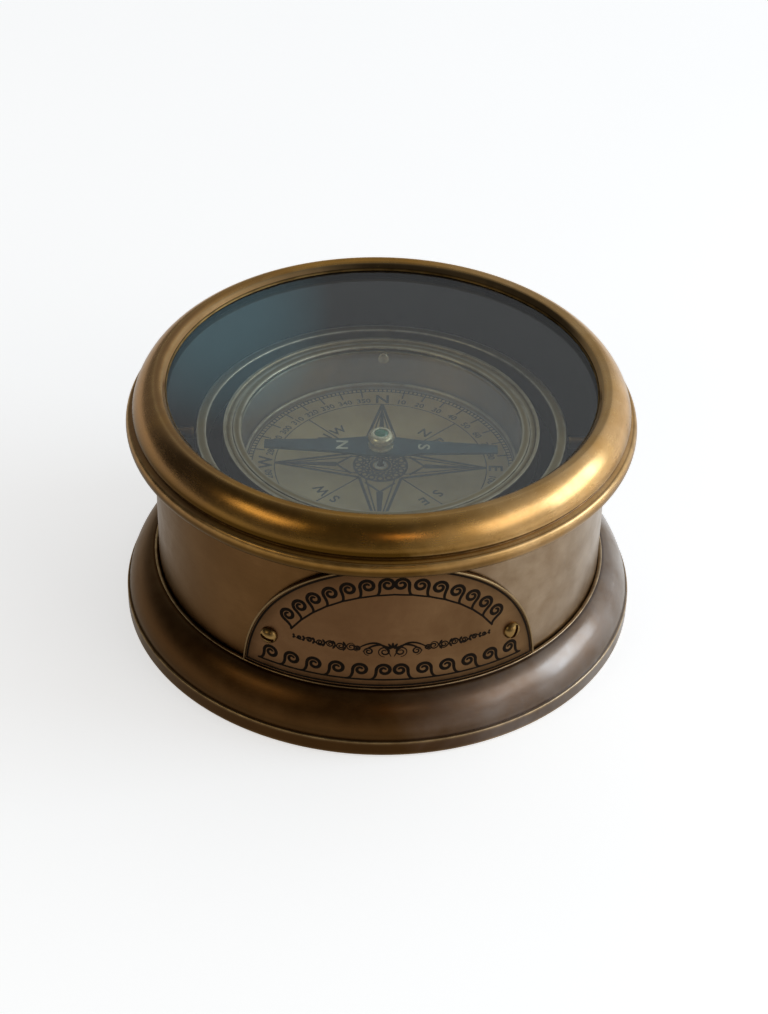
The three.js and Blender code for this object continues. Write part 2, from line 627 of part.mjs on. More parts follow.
// The thin ring that holds the dial down on its ledge
function dialRingSolid() {
  const outerRadius = bowlInnerRadius - DIAL_CLEARANCE;
  return tube(outerRadius - DIAL_RING_WIDTH, outerRadius, dialTop, dialTop + DIAL_RING_HEIGHT, BOWL_SEGMENTS);
}

function buildBowl() {
  const group = new THREE.Group();
  group.add(piece('compass_bowl', bowlSolid(), FINISHES.paleBrass));
  group.add(piece('bowl_weight', weightSolid(), FINISHES.lead));
  const weightScrew = piece('weight_screw', weightScrewSolid(), FINISHES.steel);
  weightScrew.position.z = weightBottom;
  weightScrew.rotation.x = Math.PI;
  group.add(weightScrew);
  const glass = disc(bowlGlassRadius, PIVOT_COVER, bowlGlassTop, BOWL_SEGMENTS);
  group.add(piece('bowl_glass', glass, FINISHES.glass));
  const glassRing = tube(bowlGlassRadius - BOWL_RETAINER_WIDTH, bowlGlassRadius, bowlGlassTop,
    bowlGlassTop + BOWL_RETAINER_HEIGHT, BOWL_SEGMENTS);
  group.add(piece('bowl_glass_ring', glassRing, FINISHES.paleBrass));
  group.add(piece('dial_card', tube(POST_RIVET_RADIUS + POST_CLEARANCE, bowlInnerRadius - DIAL_CLEARANCE,
    dialBottom, dialTop, BOWL_SEGMENTS), FINISHES.dial));
  group.add(piece('dial_ring', dialRingSolid(), FINISHES.paleBrass));
  group.add(piece('pivot_post', pivotPostSolid(), FINISHES.steel));
  [['front', 0], ['rear', Math.PI]].forEach(([side, azimuth]) => {
    const pivot = piece(`bowl_pivot_${side}`, bowlPivotSolid(), FINISHES.paleBrass);
    const seat = bowlInnerRadius - BOWL_PIVOT_HEAD_GAP;
    pivot.quaternion.copy(levelTurn(azimuth + Math.PI));
    pivot.position.set(seat * Math.sin(azimuth), -seat * Math.cos(azimuth), 0);
    group.add(pivot);
  });
  return group;
}

// A bar with blunt tips, widening to its hub, with a bore for the pin
function needleSolid() {
  const tip = bowlInnerRadius - NEEDLE_TIP_GAP;
  const quarter = [
    [tip, NEEDLE_TIP_HALF_WIDTH],
    [NEEDLE_ARM_START, NEEDLE_ARM_HALF_WIDTH],
    [NEEDLE_HUB_START, NEEDLE_HUB_HALF_WIDTH],
  ];
  const upper = [...quarter, ...quarter.map(([x, y]) => [-x, y]).reverse()];
  const lower = upper.map(([x, y]) => [x, -y]).reverse();
  const shape = new THREE.Shape([...upper, ...lower].map(([x, y]) => new THREE.Vector2(x, y)));
  const bore = new THREE.Path().absarc(0, 0, NEEDLE_BORE_RADIUS, 0, 2 * Math.PI, true);
  shape.holes.push(new THREE.Path(bore.getSpacedPoints(SMALL_SEGMENTS).slice(0, -1)));
  const bar = new THREE.ExtrudeGeometry(shape, { depth: NEEDLE_THICKNESS, bevelEnabled: false });
  return solidOf(bar.translate(0, 0, -NEEDLE_THICKNESS));
}

// The cap: a flange, a waist and a rounded button, bored for the jewel from above and for the pin from below
function capSolid() {
  const flangeEdge = CAP_RADIUS - CAP_FLANGE_INSET;
  const waistRadius = CAP_RADIUS - CAP_WAIST_INSET;
  const buttonBottom = CAP_FLANGE_HEIGHT + CAP_WAIST_HEIGHT;
  const buttonMiddle = (buttonBottom + CAP_HEIGHT) / 2;
  const button = ovolo(CAP_RADIUS - CAP_ROUNDING, buttonMiddle, CAP_ROUNDING, CAP_HEIGHT - buttonMiddle, 1);
  const seatRadiusInCap = JEWEL_RADIUS + JEWEL_CLEARANCE;
  return turned([
    [NEEDLE_BORE_RADIUS, 0],
    [flangeEdge, 0],
    [flangeEdge, CAP_FLANGE_HEIGHT],
    [waistRadius, CAP_FLANGE_HEIGHT],
    [waistRadius, buttonBottom],
    ...button,
    [seatRadiusInCap, CAP_HEIGHT],
    [seatRadiusInCap, CAP_COLLAR_HEIGHT],
    [NEEDLE_BORE_RADIUS, CAP_COLLAR_HEIGHT],
  ], SMALL_SEGMENTS);
}

// The jewel: domed on top, with a conical cup underneath that rides on the post's point
function jewelSolid() {
  return turned([
    [JEWEL_CUP_RADIUS, CAP_COLLAR_HEIGHT],
    [JEWEL_RADIUS, CAP_COLLAR_HEIGHT],
    ...ovolo(0, jewelTop - JEWEL_DOME, JEWEL_RADIUS, JEWEL_DOME, 1),
    [0, jewelCupTop],
  ], SMALL_SEGMENTS);
}

function buildNeedle() {
  const group = new THREE.Group();
  group.position.z = needleTop;
  group.add(piece('needle', needleSolid(), FINISHES.bluedSteel));
  group.add(piece('needle_cap', capSolid(), FINISHES.goldBrass));
  group.add(piece('cap_jewel', jewelSolid(), FINISHES.jewel));
  return group;
}

// The gimbal hangs on the pivot axis, with the bowl in it and the needle in the bowl
function buildGimbal() {
  const group = new THREE.Group();
  group.position.z = pivotHeight;
  group.add(piece('gimbal_ring', gimbalRingSolid(), FINISHES.paleBrass));
  group.add(buildBowl());
  group.add(buildNeedle());
  return group;
}

const compass = new THREE.Group();
compass.add(buildCase());
compass.add(buildBezel());
compass.add(buildGimbal());

export default compass;
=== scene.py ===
import math

import bmesh
import bpy
from mathutils import Matrix, Vector, noise


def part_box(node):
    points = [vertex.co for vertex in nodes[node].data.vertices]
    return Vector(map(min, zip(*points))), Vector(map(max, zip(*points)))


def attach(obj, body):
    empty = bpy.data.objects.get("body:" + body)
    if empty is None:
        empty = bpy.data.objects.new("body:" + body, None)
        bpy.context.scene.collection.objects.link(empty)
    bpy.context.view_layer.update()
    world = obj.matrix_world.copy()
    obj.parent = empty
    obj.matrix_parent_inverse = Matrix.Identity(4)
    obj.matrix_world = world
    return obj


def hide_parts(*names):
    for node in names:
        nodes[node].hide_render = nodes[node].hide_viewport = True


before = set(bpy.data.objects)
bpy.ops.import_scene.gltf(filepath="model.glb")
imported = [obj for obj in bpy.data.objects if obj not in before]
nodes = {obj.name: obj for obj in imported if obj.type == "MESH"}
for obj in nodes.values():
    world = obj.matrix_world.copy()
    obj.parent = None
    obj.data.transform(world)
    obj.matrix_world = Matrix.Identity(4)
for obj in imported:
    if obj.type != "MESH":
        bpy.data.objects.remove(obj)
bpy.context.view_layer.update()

# A desk compass in a turned brass drum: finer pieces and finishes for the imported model, in metres.
MM = 0.001

# Camera, worked out from the rims in the photograph
CAMERA_ELEVATION = math.radians(37.475)
CAMERA_ROLL = math.radians(1.5)
CAMERA_DISTANCE = 467.45 * MM
CAMERA_AIM = Vector((0.91 * MM, 0, 20.435 * MM))
CAMERA_LENS_MM = 82.016
CAMERA_NEAR = 10 * MM

# Fineness of the meshes
TURN_SEGMENTS = 192
SMALL_SEGMENTS = 48
ROUND_STEPS = 5
CURVE_STEPS = 28
SMOOTH_ANGLE = math.radians(38)
ON_AXIS = 1e-7

# Roundings of turned edges
CRISP = 0.05 * MM
EASED = 0.12 * MM
SOFT = 0.28 * MM
MOST_OF_AN_EDGE = 0.48

# Wear, dirt with painted shade, and painted shade on faces that look out or down, as marks on the vertices
MARKS = ("worn", "dirt_and_shade", "painted_face_shade")
UNMARKED = (0.0, 0.0, 0.0)
EASE_STEPS = (0.22 * MM, 0.5 * MM, 1.1 * MM)
WEAR_REACH = 0.27 * MM
WEAR_FULL_TURN = math.radians(70)
OUTER_FACE_RISE = -0.3

# Letters of the built-in font
FONT_CAP_SHARE = 0.729
LETTER_BOLDNESS = 0.025
LETTER_STEPS = 3


def low(node):
    """The height of a node's underside."""
    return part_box(node)[0][2]


def high(node):
    """The height of a node's top."""
    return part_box(node)[1][2]


def reach(node):
    """The outer radius of a node that is round about the Z axis."""
    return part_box(node)[1][0]


def held(value, lowest=0.0):
    """A value kept between a lowest and 1."""
    return min(max(value, lowest), 1.0)


def bent(start, pull, end, share):
    """The point at a share of the curve from a start to an end that is drawn towards a third point."""
    return start.lerp(pull, share).lerp(pull.lerp(end, share), share)


def round_drum(radius, azimuth, height):
    """A point at a radius from the drum's axis, an azimuth from the front towards the right and a height."""
    return Vector((radius * math.sin(azimuth), -radius * math.cos(azimuth), height))


# Outlines of turned pieces, as (radius, height) points listed anticlockwise

def rounded(corners):
    """A closed outline from (radius, height, rounding) corners, with each corner eased into a curve."""
    points = []
    for index, (radius, height, rounding) in enumerate(corners):
        corner = Vector((radius, height))
        if rounding == 0:
            points.append(corner)
            continue
        back = Vector(corners[index - 1][:2]) - corner
        onward = Vector(corners[(index + 1) % len(corners)][:2]) - corner
        room_for_it = MOST_OF_AN_EDGE * min(back.length, onward.length)
        cut = min(rounding / math.tan(back.angle(onward) / 2), room_for_it)
        start = corner + back.normalized() * cut
        end = corner + onward.normalized() * cut
        points += [bent(start, corner, end, step / ROUND_STEPS) for step in range(ROUND_STEPS + 1)]
    return points


def ovolo(centre_radius, centre_height, width, height, flatness=1.0):
    """A convex moulding from its outer foot up to its top: a quarter of a flattened oval."""
    points = []
    for step in range(CURVE_STEPS + 1):
        turn = math.pi / 2 * step / CURVE_STEPS
        out = max(math.cos(turn), 0) ** flatness
        points.append((centre_radius + width * out, centre_height + height * math.sin(turn) ** flatness, 0))
    return points


def mirrored(moulding, middle, least_radius=0.0):
    """The moulding's mirror image below a height, so that the two make one bulge."""
    below = [(radius, 2 * middle - height, rounding) for radius, height, rounding in reversed(moulding[1:])]
    return [corner for corner in below if corner[0] > least_radius]


def eased(outline):
    """The same closed outline, with points added near the ends of long runs to keep wear by the edges."""
    points = []
    for start, end in zip(outline, outline[1:] + outline[:1]):
        length = (end - start).length
        steps = [step for step in EASE_STEPS if step < length / 2]
        shares = [step / length for step in steps] + [1 - step / length for step in reversed(steps)]
        points.append(start)
        points += [start.lerp(end, share) for share in shares]
    return points


def edge_marks(outline):
    """How worn, how dark with dirt and painted shade, and how much painted face shade each point of a closed
    outline has.

    Outward corners wear, and inward corners get dirt and painted shade. The less an outer face looks up, the
    more painted shade it gets.
    """
    count = len(outline)
    turns = []
    face_shades = []
    for index, point in enumerate(outline):
        arriving = point - outline[index - 1]
        leaving = outline[(index + 1) % count] - point
        turns.append(-arriving.angle_signed(leaving, 0.0))
        along = (arriving + leaving).normalized()
        # Painted shade: outer faces that look sideways or down are marked to be darkened.
        face_shades.append(held(1 + along.x) if along.y > OUTER_FACE_RISE else 0.0)
    marks = []
    for point, face_shade in zip(outline, face_shades):
        near = [math.exp(-((point - other).length / WEAR_REACH) ** 2) for other in outline]
        total = sum(turn * share for turn, share in zip(turns, near)) / WEAR_FULL_TURN
        marks.append((held(total), held(-total), face_shade))
    return marks


# Meshes

def bridge(mesh, ring, following):
    """Faces between two rings of vertices, either of which may be a single point."""
    count = max(len(ring), len(following))
    for index in range(count if count > 1 else 0):
        after = index + 1
        corners = [ring[index % len(ring)], ring[after % len(ring)],
                   following[after % len(following)], following[index % len(following)]]
        mesh.faces.new(list(dict.fromkeys(corners)))


def skin(rings, marks):
    """A closed mesh over a loop of rings of points, with each ring's marks on its vertices."""
    mesh = bmesh.new()
    layers = [mesh.verts.layers.float.new(name) for name in MARKS]
    loops = []
    for ring, ring_marks in zip(rings, marks):
        loop = [mesh.verts.new(point) for point in ring]
        for vertex in loop:
            for layer, value in zip(layers, ring_marks):
                vertex[layer] = value
        loops.append(loop)
    for loop, following in zip(loops, loops[1:] + loops[:1]):
        bridge(mesh, loop, following)
    return mesh


def revolved(outline, segments=TURN_SEGMENTS):
    """A mesh turned about the Z axis from a closed outline."""
    points = eased(outline)
    rings = []
    for radius, height in points:
        count = segments if radius > ON_AXIS else 1
        turns = [2 * math.pi * index / segments for index in range(count)]
        rings.append([round_drum(radius, turn, height) for turn in turns])
    return skin(rings, edge_marks(points))


def finished(name, mesh, *materials):
    """An object from a bmesh, shaded smooth except at sharp edges."""
    bmesh.ops.remove_doubles(mesh, verts=mesh.verts, dist=ON_AXIS)
    bmesh.ops.recalc_face_normals(mesh, faces=mesh.faces)
    data = bpy.data.meshes.new(name)
    mesh.to_mesh(data)
    mesh.free()
    data.polygons.foreach_set("use_smooth", [True] * len(data.polygons))
    data.set_sharp_from_angle(angle=SMOOTH_ANGLE)
    for material in materials:
        data.materials.append(material)
    piece = bpy.data.objects.new(name, data)
    bpy.context.scene.collection.objects.link(piece)
    return piece


def belongs(piece, body, slot, *replaced):
    """Ties a piece to its body and hides the CAD nodes that it stands for. The slot, its finish, is not used.
    """
    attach(piece, body)
    if replaced:
        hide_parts(*replaced)
    return piece


def turned(name, corners, *materials, segments=TURN_SEGMENTS):
    """A turned piece from (radius, height, rounding) corners."""
    return finished(name, revolved(rounded(corners), segments), *materials)


def square_ring(name, node, width, rounding, material):
    """A turned ring of square section in a node's place."""
    outer = reach(node)
    inner = outer - width
    corners = [(inner, low(node), EASED), (outer, low(node), EASED),
               (outer, high(node), rounding), (inner, high(node), rounding)]
    return turned(name, corners, material)


def prism(mesh, outline, bottom, top, place):
    """Adds a closed flat solid over an outline of (u, v) points; place maps (u, v, height) to a point."""
    lower = [mesh.verts.new(place(u, v, bottom)) for u, v in outline]
    upper = [mesh.verts.new(place(u, v, top)) for u, v in outline]
    mesh.faces.new(lower)
    mesh.faces.new(upper)
    bridge(mesh, lower, upper)


def swept(mesh, path, sections, place):
    """Adds a closed bar along a path of (u, v) points, with (across, height) corners for each point."""
    points = [Vector(point) for point in path]
    last = len(points) - 1
    loops = []
    for index, (point, corners) in enumerate(zip(points, sections)):
        along = (points[min(index + 1, last)] - points[max(index - 1, 0)]).normalized()
        side = Vector((-along.y, along.x))
        loops.append([mesh.verts.new(place(*(point + side * across), height)) for across, height in corners])
    for loop, following in zip(loops, loops[1:]):
        bridge(mesh, loop, following)
    mesh.faces.new(loops[0])
    mesh.faces.new(loops[-1])


def ribbon(mesh, path, half_widths, bottom, top, place):
    """Adds a closed flat stroke along a path, with a half width at each point."""
    sections = [[(-half, bottom), (half, bottom), (half, top), (-half, top)] for half in half_widths]
    swept(mesh, path, sections, place)


def circle_points(radius, count, centre=(0, 0)):
    """Points spread evenly round a circle."""
    turns = [2 * math.pi * index / count for index in range(count)]
    return [(centre[0] + radius * math.sin(turn), centre[1] + radius * math.cos(turn)) for turn in turns]


def lettering(mesh, text, cap_height, thickness, matrix):
    """Adds solid letters in the built-in font, centred on the matrix's origin."""
    curve = bpy.data.curves.new("letters", "FONT")
    curve.body = text
    curve.size = cap_height / FONT_CAP_SHARE
    curve.extrude = thickness / 2
    curve.align_x = "CENTER"
    curve.resolution_u = LETTER_STEPS
    curve.offset = cap_height * LETTER_BOLDNESS
    holder = bpy.data.objects.new("letters", curve)
    bpy.context.scene.collection.objects.link(holder)
    graph = bpy.context.evaluated_depsgraph_get()
    data = bpy.data.meshes.new_from_object(holder.evaluated_get(graph))
    data.transform(matrix @ Matrix.Translation((0, -cap_height / 2, 0)))
    mesh.from_mesh(data)
    bpy.data.objects.remove(holder)
    bpy.data.curves.remove(curve)
    bpy.data.meshes.remove(data)


# Node materials

# The span that most of a noise lies in
NOISE_SPAN = (0.3, 0.7)


def material_nodes(name):
    """A new material with its node tree and its main shader."""
    material = bpy.data.materials.new(name)
    material.use_nodes = True
    tree = material.node_tree
    return material, tree, tree.nodes["Principled BSDF"]


def plug(tree, node, values):
    """Sets a node's inputs to plain values, or links other nodes' outputs to them. Colours are opaque."""
    for key, value in values.items():
        socket = node.inputs[key]
        if isinstance(value, bpy.types.NodeSocket):
            tree.links.new(value, socket)
        else:
            socket.default_value = (*value, 1) if socket.type == "RGBA" else value


def add(tree, kind, settings, inputs):
    """A new node with its settings and inputs."""
    node = tree.nodes.new(kind)
    for key, value in settings.items():
        setattr(node, key, value)
    plug(tree, node, inputs)
    return node


def calc(tree, operation, *values):
    """The result of a Math node."""
    return add(tree, "ShaderNodeMath", {"operation": operation}, dict(enumerate(values))).outputs[0]


def mapped(tree, value, start, end, to_start=0.0, to_end=1.0):
    """A value carried from one range to another, and held inside it."""
    inputs = {0: value, 1: start, 2: end, 3: to_start, 4: to_end}
    return add(tree, "ShaderNodeMapRange", {"clamp": True}, inputs).outputs[0]


def colour_mix(tree, share, first, second):
    """A blend of two colours."""
    settings = {"data_type": "RGBA", "clamp_factor": True}
    return add(tree, "ShaderNodeMix", settings, {0: share, 6: first, 7: second}).outputs[2]


def grain(tree, vector, scale, detail=4.0, roughness=0.6, distortion=0.0):
    """Noise through the solid, from 0 to 1."""
    inputs = {"Vector": vector, "Scale": scale, "Detail": detail}
    inputs |= {"Roughness": roughness, "Distortion": distortion}
    return add(tree, "ShaderNodeTexNoise", {"noise_dimensions": "3D"}, inputs).outputs[0]


def mark(tree, name):
    """A value stored on the vertices."""
    return add(tree, "ShaderNodeAttribute", {"attribute_name": name}, {}).outputs["Fac"]


def place_of(tree):
    """The place in the object's own coordinates."""
    return add(tree, "ShaderNodeTexCoord", {}, {}).outputs["Object"]


def round_axis(tree, place):
    """The direction away from the Z axis, the distance from it and the height."""
    parts = add(tree, "ShaderNodeSeparateXYZ", {}, {0: place}).outputs
    flat = add(tree, "ShaderNodeCombineXYZ", {}, {0: parts[0], 1: parts[1]}).outputs[0]
    radius = add(tree, "ShaderNodeVectorMath", {"operation": "LENGTH"}, {0: flat}).outputs["Value"]
    away = add(tree, "ShaderNodeVectorMath", {"operation": "NORMALIZE"}, {0: flat}).outputs[0]
    return away, radius, parts[2]


LINE_LENGTH = 1.2 * MM
LINE_DETAIL = {"Detail": 3.0, "Roughness": 0.65}


def turning_lines(tree, place, scale):
    """Fine lines round the Z axis, as a lathe tool leaves them."""
    away, radius, height = round_axis(tree, place)
    drawn_out = add(tree, "ShaderNodeVectorMath", {"operation": "SCALE"}, {0: away, "Scale": LINE_LENGTH})
    profile = calc(tree, "SUBTRACT", height, radius)
    inputs = {"Vector": drawn_out.outputs[0], "W": profile, "Scale": scale, **LINE_DETAIL}
    return add(tree, "ShaderNodeTexNoise", {"noise_dimensions": "4D"}, inputs).outputs[0]


# Painted light and shade by side: the right is painted lighter, the left darker.
SIDE_WAVER = (-0.15, 0.15)
LIT_SIDE_SPAN = (0.1, 0.62)
SHADED_SIDE_SPAN = (-0.35, -0.9)


def painted_light_sides(tree, place, cloud):
    """How much the right side is painted lighter, a painted light, and how much the left is painted darker, a
    painted shade, both cloudy.
    """
    away, _, _ = round_axis(tree, place)
    across = add(tree, "ShaderNodeSeparateXYZ", {}, {0: away}).outputs[0]
    across = calc(tree, "ADD", across, mapped(tree, cloud, *NOISE_SPAN, *SIDE_WAVER))
    return mapped(tree, across, *LIT_SIDE_SPAN), mapped(tree, across, *SHADED_SIDE_SPAN)


def bumped(tree, height, strength, depth):
    """A normal with a relief of that height."""
    inputs = {"Height": height, "Strength": strength, "Distance": depth}
    return add(tree, "ShaderNodeBump", {}, inputs).outputs[0]


# Colours of stains and of painted shade on brass, and of its shine at a grazing angle
STAIN_AND_SHADE = (0.026, 0.012, 0.004)
FACE_SHADE_TONE = (0.050, 0.023, 0.003)
DARK_FACE_SHADE_TONE = (0.030, 0.014, 0.004)
GRAZING_TINT = (0.80, 0.74, 0.66)

# No lacquer at either side, and no painted face shade: its share, and the marks at which it sets in and is
# full
BARE = (0.0, 0.0)
NO_FACE_SHADE = (0.0, 0.0, 1.0)
LACQUER_ROUGHNESS = 0.22
LACQUER_IOR = 1.9

# Noises through brass, the spans in which they tell and the levels that they give
MOTTLE = {"scale": 55.0, "detail": 7.0, "roughness": 0.62, "distortion": 0.4}
CLOUD = {"scale": 310.0, "detail": 5.0}
FINE = {"scale": 2400.0, "detail": 3.0}
PATCHES = {"scale": 130.0, "detail": 5.0, "roughness": 0.65}
MOTTLE_SPAN = (0.34, 0.66)
PATCH_SPAN = (0.32, 0.68)
PATCH_LEVELS = (0.55, 1.2)
DIRT_AND_SHADE_SPAN = (0.75, 0.3)
DIRT_AND_SHADE_LEVELS = (0.45, 1.0)
DIRT_AND_SHADE_COVER = 0.85
GRIME_ROUGHNESS = 0.25
WEAR_SPAN = (0.2, 0.6)
WEAR_LEVELS = (0.2, 0.85)
STAIN_SPAN = (0.62, 0.78)
GLOSS_SPAN = (0.25, 0.75)
GLOSS_SPREAD = (-0.04, 0.05)
LINE_ROUGHNESS = 0.04
LIT_SIDE_FACE_SHADE_SHARE = 0.5
FINE_RELIEF = 0.4
BRASS_RELIEF_DEPTH = 0.04 * MM


def around(value, spread):
    """The ends of a spread about a value."""
    return value + spread[0], value + spread[1]


def brass(name, dark, light, worn, roughness, lacquer=BARE, face_shade=NO_FACE_SHADE, lit_side_share=0.0, lit_side_tone=None,
          shaded_side_tone=None, lines=(2600.0, 0.3), face_shade_tone=FACE_SHADE_TONE, metal=1.0, relief=0.08):
    """Old brass: a mottled oxide tone, lathe lines, bright worn edges, dirt and painted shade in the corners,
    and painted shade where faces look out or down.

    The lacquer has one weight in general and another on the right side. There a lighter tone is painted in
    by a share, in patches, as painted light; the left side may be painted a darker tone, as painted shade.
    The lines have a scale and a strength.
    """
    material, tree, shader = material_nodes(name)
    place = place_of(tree)
    mottle = grain(tree, place, **MOTTLE)
    cloud = grain(tree, place, **CLOUD)
    fine = grain(tree, place, **FINE)
    turning = turning_lines(tree, place, lines[0])
    lit_side, left = painted_light_sides(tree, place, mottle)
    patches = mapped(tree, grain(tree, place, **PATCHES), *PATCH_SPAN, *PATCH_LEVELS)
    # Dirt and painted shade in inward corners, uneven by a cloud.
    dirt_and_shade = calc(tree, "MULTIPLY", mark(tree, "dirt_and_shade"), mapped(tree, cloud, *DIRT_AND_SHADE_SPAN, *DIRT_AND_SHADE_LEVELS))
    # Painted shade on faces that look out or down, weaker on the painted-lit right side.
    share, start, full = face_shade
    face_shade_share = mapped(tree, lit_side, 0.0, 1.0, share, LIT_SIDE_FACE_SHADE_SHARE * share)
    face_shaded = calc(tree, "MULTIPLY", mapped(tree, mark(tree, "painted_face_shade"), start, full), face_shade_share)
    unshaded_share = calc(tree, "SUBTRACT", 1.0, face_shaded)
    wear = calc(tree, "MULTIPLY", mark(tree, "worn"), mapped(tree, cloud, *WEAR_SPAN, *WEAR_LEVELS))
    wear = calc(tree, "MULTIPLY", wear, unshaded_share)
    tone = colour_mix(tree, mapped(tree, mottle, *MOTTLE_SPAN), dark, light)
    tone = colour_mix(tree, mapped(tree, turning, *NOISE_SPAN, 0.0, lines[1]), tone, dark)
    # Painted shade: the left side darkens towards the shaded-side tone.
    tone = colour_mix(tree, left, tone, shaded_side_tone or dark)
    # Painted light: the right side lightens towards the lit-side tone, in patches.
    shown = calc(tree, "MULTIPLY", lit_side, calc(tree, "MULTIPLY", patches, lit_side_share))
    tone = colour_mix(tree, shown, tone, lit_side_tone or worn)
    tone = colour_mix(tree, mapped(tree, fine, *STAIN_SPAN, 0.0, lines[1]), tone, STAIN_AND_SHADE)
    # Painted shade: faces that look out or down darken towards the face-shade tone.
    tone = colour_mix(tree, face_shaded, tone, face_shade_tone)
    tone = colour_mix(tree, wear, tone, worn)
    # Dirt and painted shade darken the inward corners.
    tone = colour_mix(tree, calc(tree, "MULTIPLY", dirt_and_shade, DIRT_AND_SHADE_COVER), tone, STAIN_AND_SHADE)
    rough = calc(tree, "ADD", mapped(tree, cloud, *GLOSS_SPAN, *around(roughness, GLOSS_SPREAD)),
                 mapped(tree, turning, *NOISE_SPAN, 0.0, LINE_ROUGHNESS))
    height = calc(tree, "ADD", turning, calc(tree, "MULTIPLY", fine, FINE_RELIEF))
    plug(tree, shader, {
        "Base Color": tone,
        "Roughness": calc(tree, "ADD", rough, calc(tree, "MULTIPLY", dirt_and_shade, GRIME_ROUGHNESS)),
        "Normal": bumped(tree, height, relief, BRASS_RELIEF_DEPTH),
        "Metallic": metal,
        "Specular Tint": GRAZING_TINT,
    })
    if lacquer != BARE:
        coat = calc(tree, "MULTIPLY", mapped(tree, lit_side, 0.0, 1.0, *lacquer), unshaded_share)
        plug(tree, shader, {
            "Coat Weight": calc(tree, "MULTIPLY", coat, patches),
            "Coat Roughness": LACQUER_ROUGHNESS,
            "Coat IOR": LACQUER_IOR,
        })
    return material


LACQUER_CLOUD = {"scale": 420.0, "detail": 3.0}
LACQUER_SPREAD = (-0.05, 0.1)
LACQUER_RELIEF = (0.02, 0.03 * MM)


def lacquered(name, tone, paler, roughness, gloss=0.25):
    """A thin lacquer, paint or fill, uneven in tone and gloss."""
    material, tree, shader = material_nodes(name)
    cloud = grain(tree, place_of(tree), **LACQUER_CLOUD)
    plug(tree, shader, {
        "Base Color": colour_mix(tree, mapped(tree, cloud, *NOISE_SPAN), tone, paler),
        "Roughness": mapped(tree, cloud, *NOISE_SPAN, *around(roughness, LACQUER_SPREAD)),
        "Normal": bumped(tree, cloud, *LACQUER_RELIEF),
        "Specular IOR Level": gloss,
    })
    return material


STEEL_CLOUD = {"scale": 260.0, "detail": 5.0}
STEEL_SPAN = (0.32, 0.68)
STEEL_GRAIN = {"scale": 5200.0, "detail": 3.0}
STEEL_DRAWN_OUT = (0.06, 1.0, 1.0)
STEEL_SPREAD = (-0.06, 0.1)
STEEL_RELIEF = (0.12, 0.03 * MM)


def steel(name, dark, light, roughness):
    """Plain or blued steel with a fine grain and a mottled oxide."""
    material, tree, shader = material_nodes(name)
    place = place_of(tree)
    cloud = grain(tree, place, **STEEL_CLOUD)
    drawn = add(tree, "ShaderNodeMapping", {}, {"Vector": place, "Scale": STEEL_DRAWN_OUT}).outputs[0]
    fine = grain(tree, drawn, **STEEL_GRAIN)
    plug(tree, shader, {
        "Base Color": colour_mix(tree, mapped(tree, cloud, *STEEL_SPAN), dark, light),
        "Roughness": mapped(tree, fine, *NOISE_SPAN, *around(roughness, STEEL_SPREAD)),
        "Normal": bumped(tree, fine, *STEEL_RELIEF),
        "Metallic": 1.0,
    })
    return material


DIAL_DARK = (0.45, 0.34, 0.165)
DIAL_LIGHT = (0.62, 0.49, 0.255)
DIAL_TARNISH = (0.09, 0.07, 0.04)
DIAL_CLOUD = {"scale": 130.0, "detail": 6.0}
DIAL_GRAIN = {"scale": 4200.0, "detail": 3.0}
DIAL_LINES = 3200.0
DIAL_TARNISH_SPAN = (0.6, 0.8)
DIAL_TARNISH_SHARE = 0.35
DIAL_ROUGHNESS = (0.42, 0.58)
DIAL_RELIEF = (0.15, 0.03 * MM)


def dial_finish(name):
    """Satin lacquered brass with faint rings, a little tarnished."""
    material, tree, shader = material_nodes(name)
    place = place_of(tree)
    cloud = grain(tree, place, **DIAL_CLOUD)
    fine = grain(tree, place, **DIAL_GRAIN)
    turning = turning_lines(tree, place, DIAL_LINES)
    tone = colour_mix(tree, mapped(tree, cloud, *NOISE_SPAN), DIAL_DARK, DIAL_LIGHT)
    tarnish = mapped(tree, fine, *DIAL_TARNISH_SPAN, 0.0, DIAL_TARNISH_SHARE)
    plug(tree, shader, {
        "Base Color": colour_mix(tree, tarnish, tone, DIAL_TARNISH),
        "Roughness": mapped(tree, turning, *NOISE_SPAN, *DIAL_ROUGHNESS),
        "Normal": bumped(tree, calc(tree, "ADD", turning, fine), *DIAL_RELIEF),
        "Metallic": 0.45,
    })
    return material


GLASS_CLEAR = (0.955, 0.99, 0.975)
GLASS_SMEARED = (0.935, 0.97, 0.955)
SMEARS = {"scale": 90.0, "detail": 6.0, "roughness": 0.65, "distortion": 0.6}
SMEAR_SPAN = (0.45, 0.75)
SMEAR_LIE = {"Rotation": (0, 0, 0.6), "Scale": (1, 0.25, 1)}


def glass_finish(name):
    """Clear plate glass with faintly tinted smears, which lets lamp light through."""
    material, tree, shader = material_nodes(name)
    lie = add(tree, "ShaderNodeMapping", {}, {"Vector": place_of(tree), **SMEAR_LIE}).outputs[0]
    smears = mapped(tree, grain(tree, lie, **SMEARS), *SMEAR_SPAN)
    plug(tree, shader, {
        "Base Color": colour_mix(tree, smears, GLASS_CLEAR, GLASS_SMEARED),
        "Roughness": 0.0,
        "IOR": 1.5,
        "Transmission Weight": 1.0,
    })
    clear = add(tree, "ShaderNodeBsdfTransparent", {}, {}).outputs[0]
    shadow = add(tree, "ShaderNodeLightPath", {}, {}).outputs["Is Shadow Ray"]
    both = add(tree, "ShaderNodeMixShader", {}, {0: shadow, 1: shader.outputs[0], 2: clear}).outputs[0]
    plug(tree, tree.nodes["Material Output"], {"Surface": both})
    return material


JEWEL_DARK = (0.010, 0.12, 0.065)
JEWEL_LIGHT = (0.022, 0.22, 0.12)
JEWEL_CLOUD = {"scale": 900.0, "detail": 4.0}
JEWEL_ROUGHNESS = (0.15, 0.25)


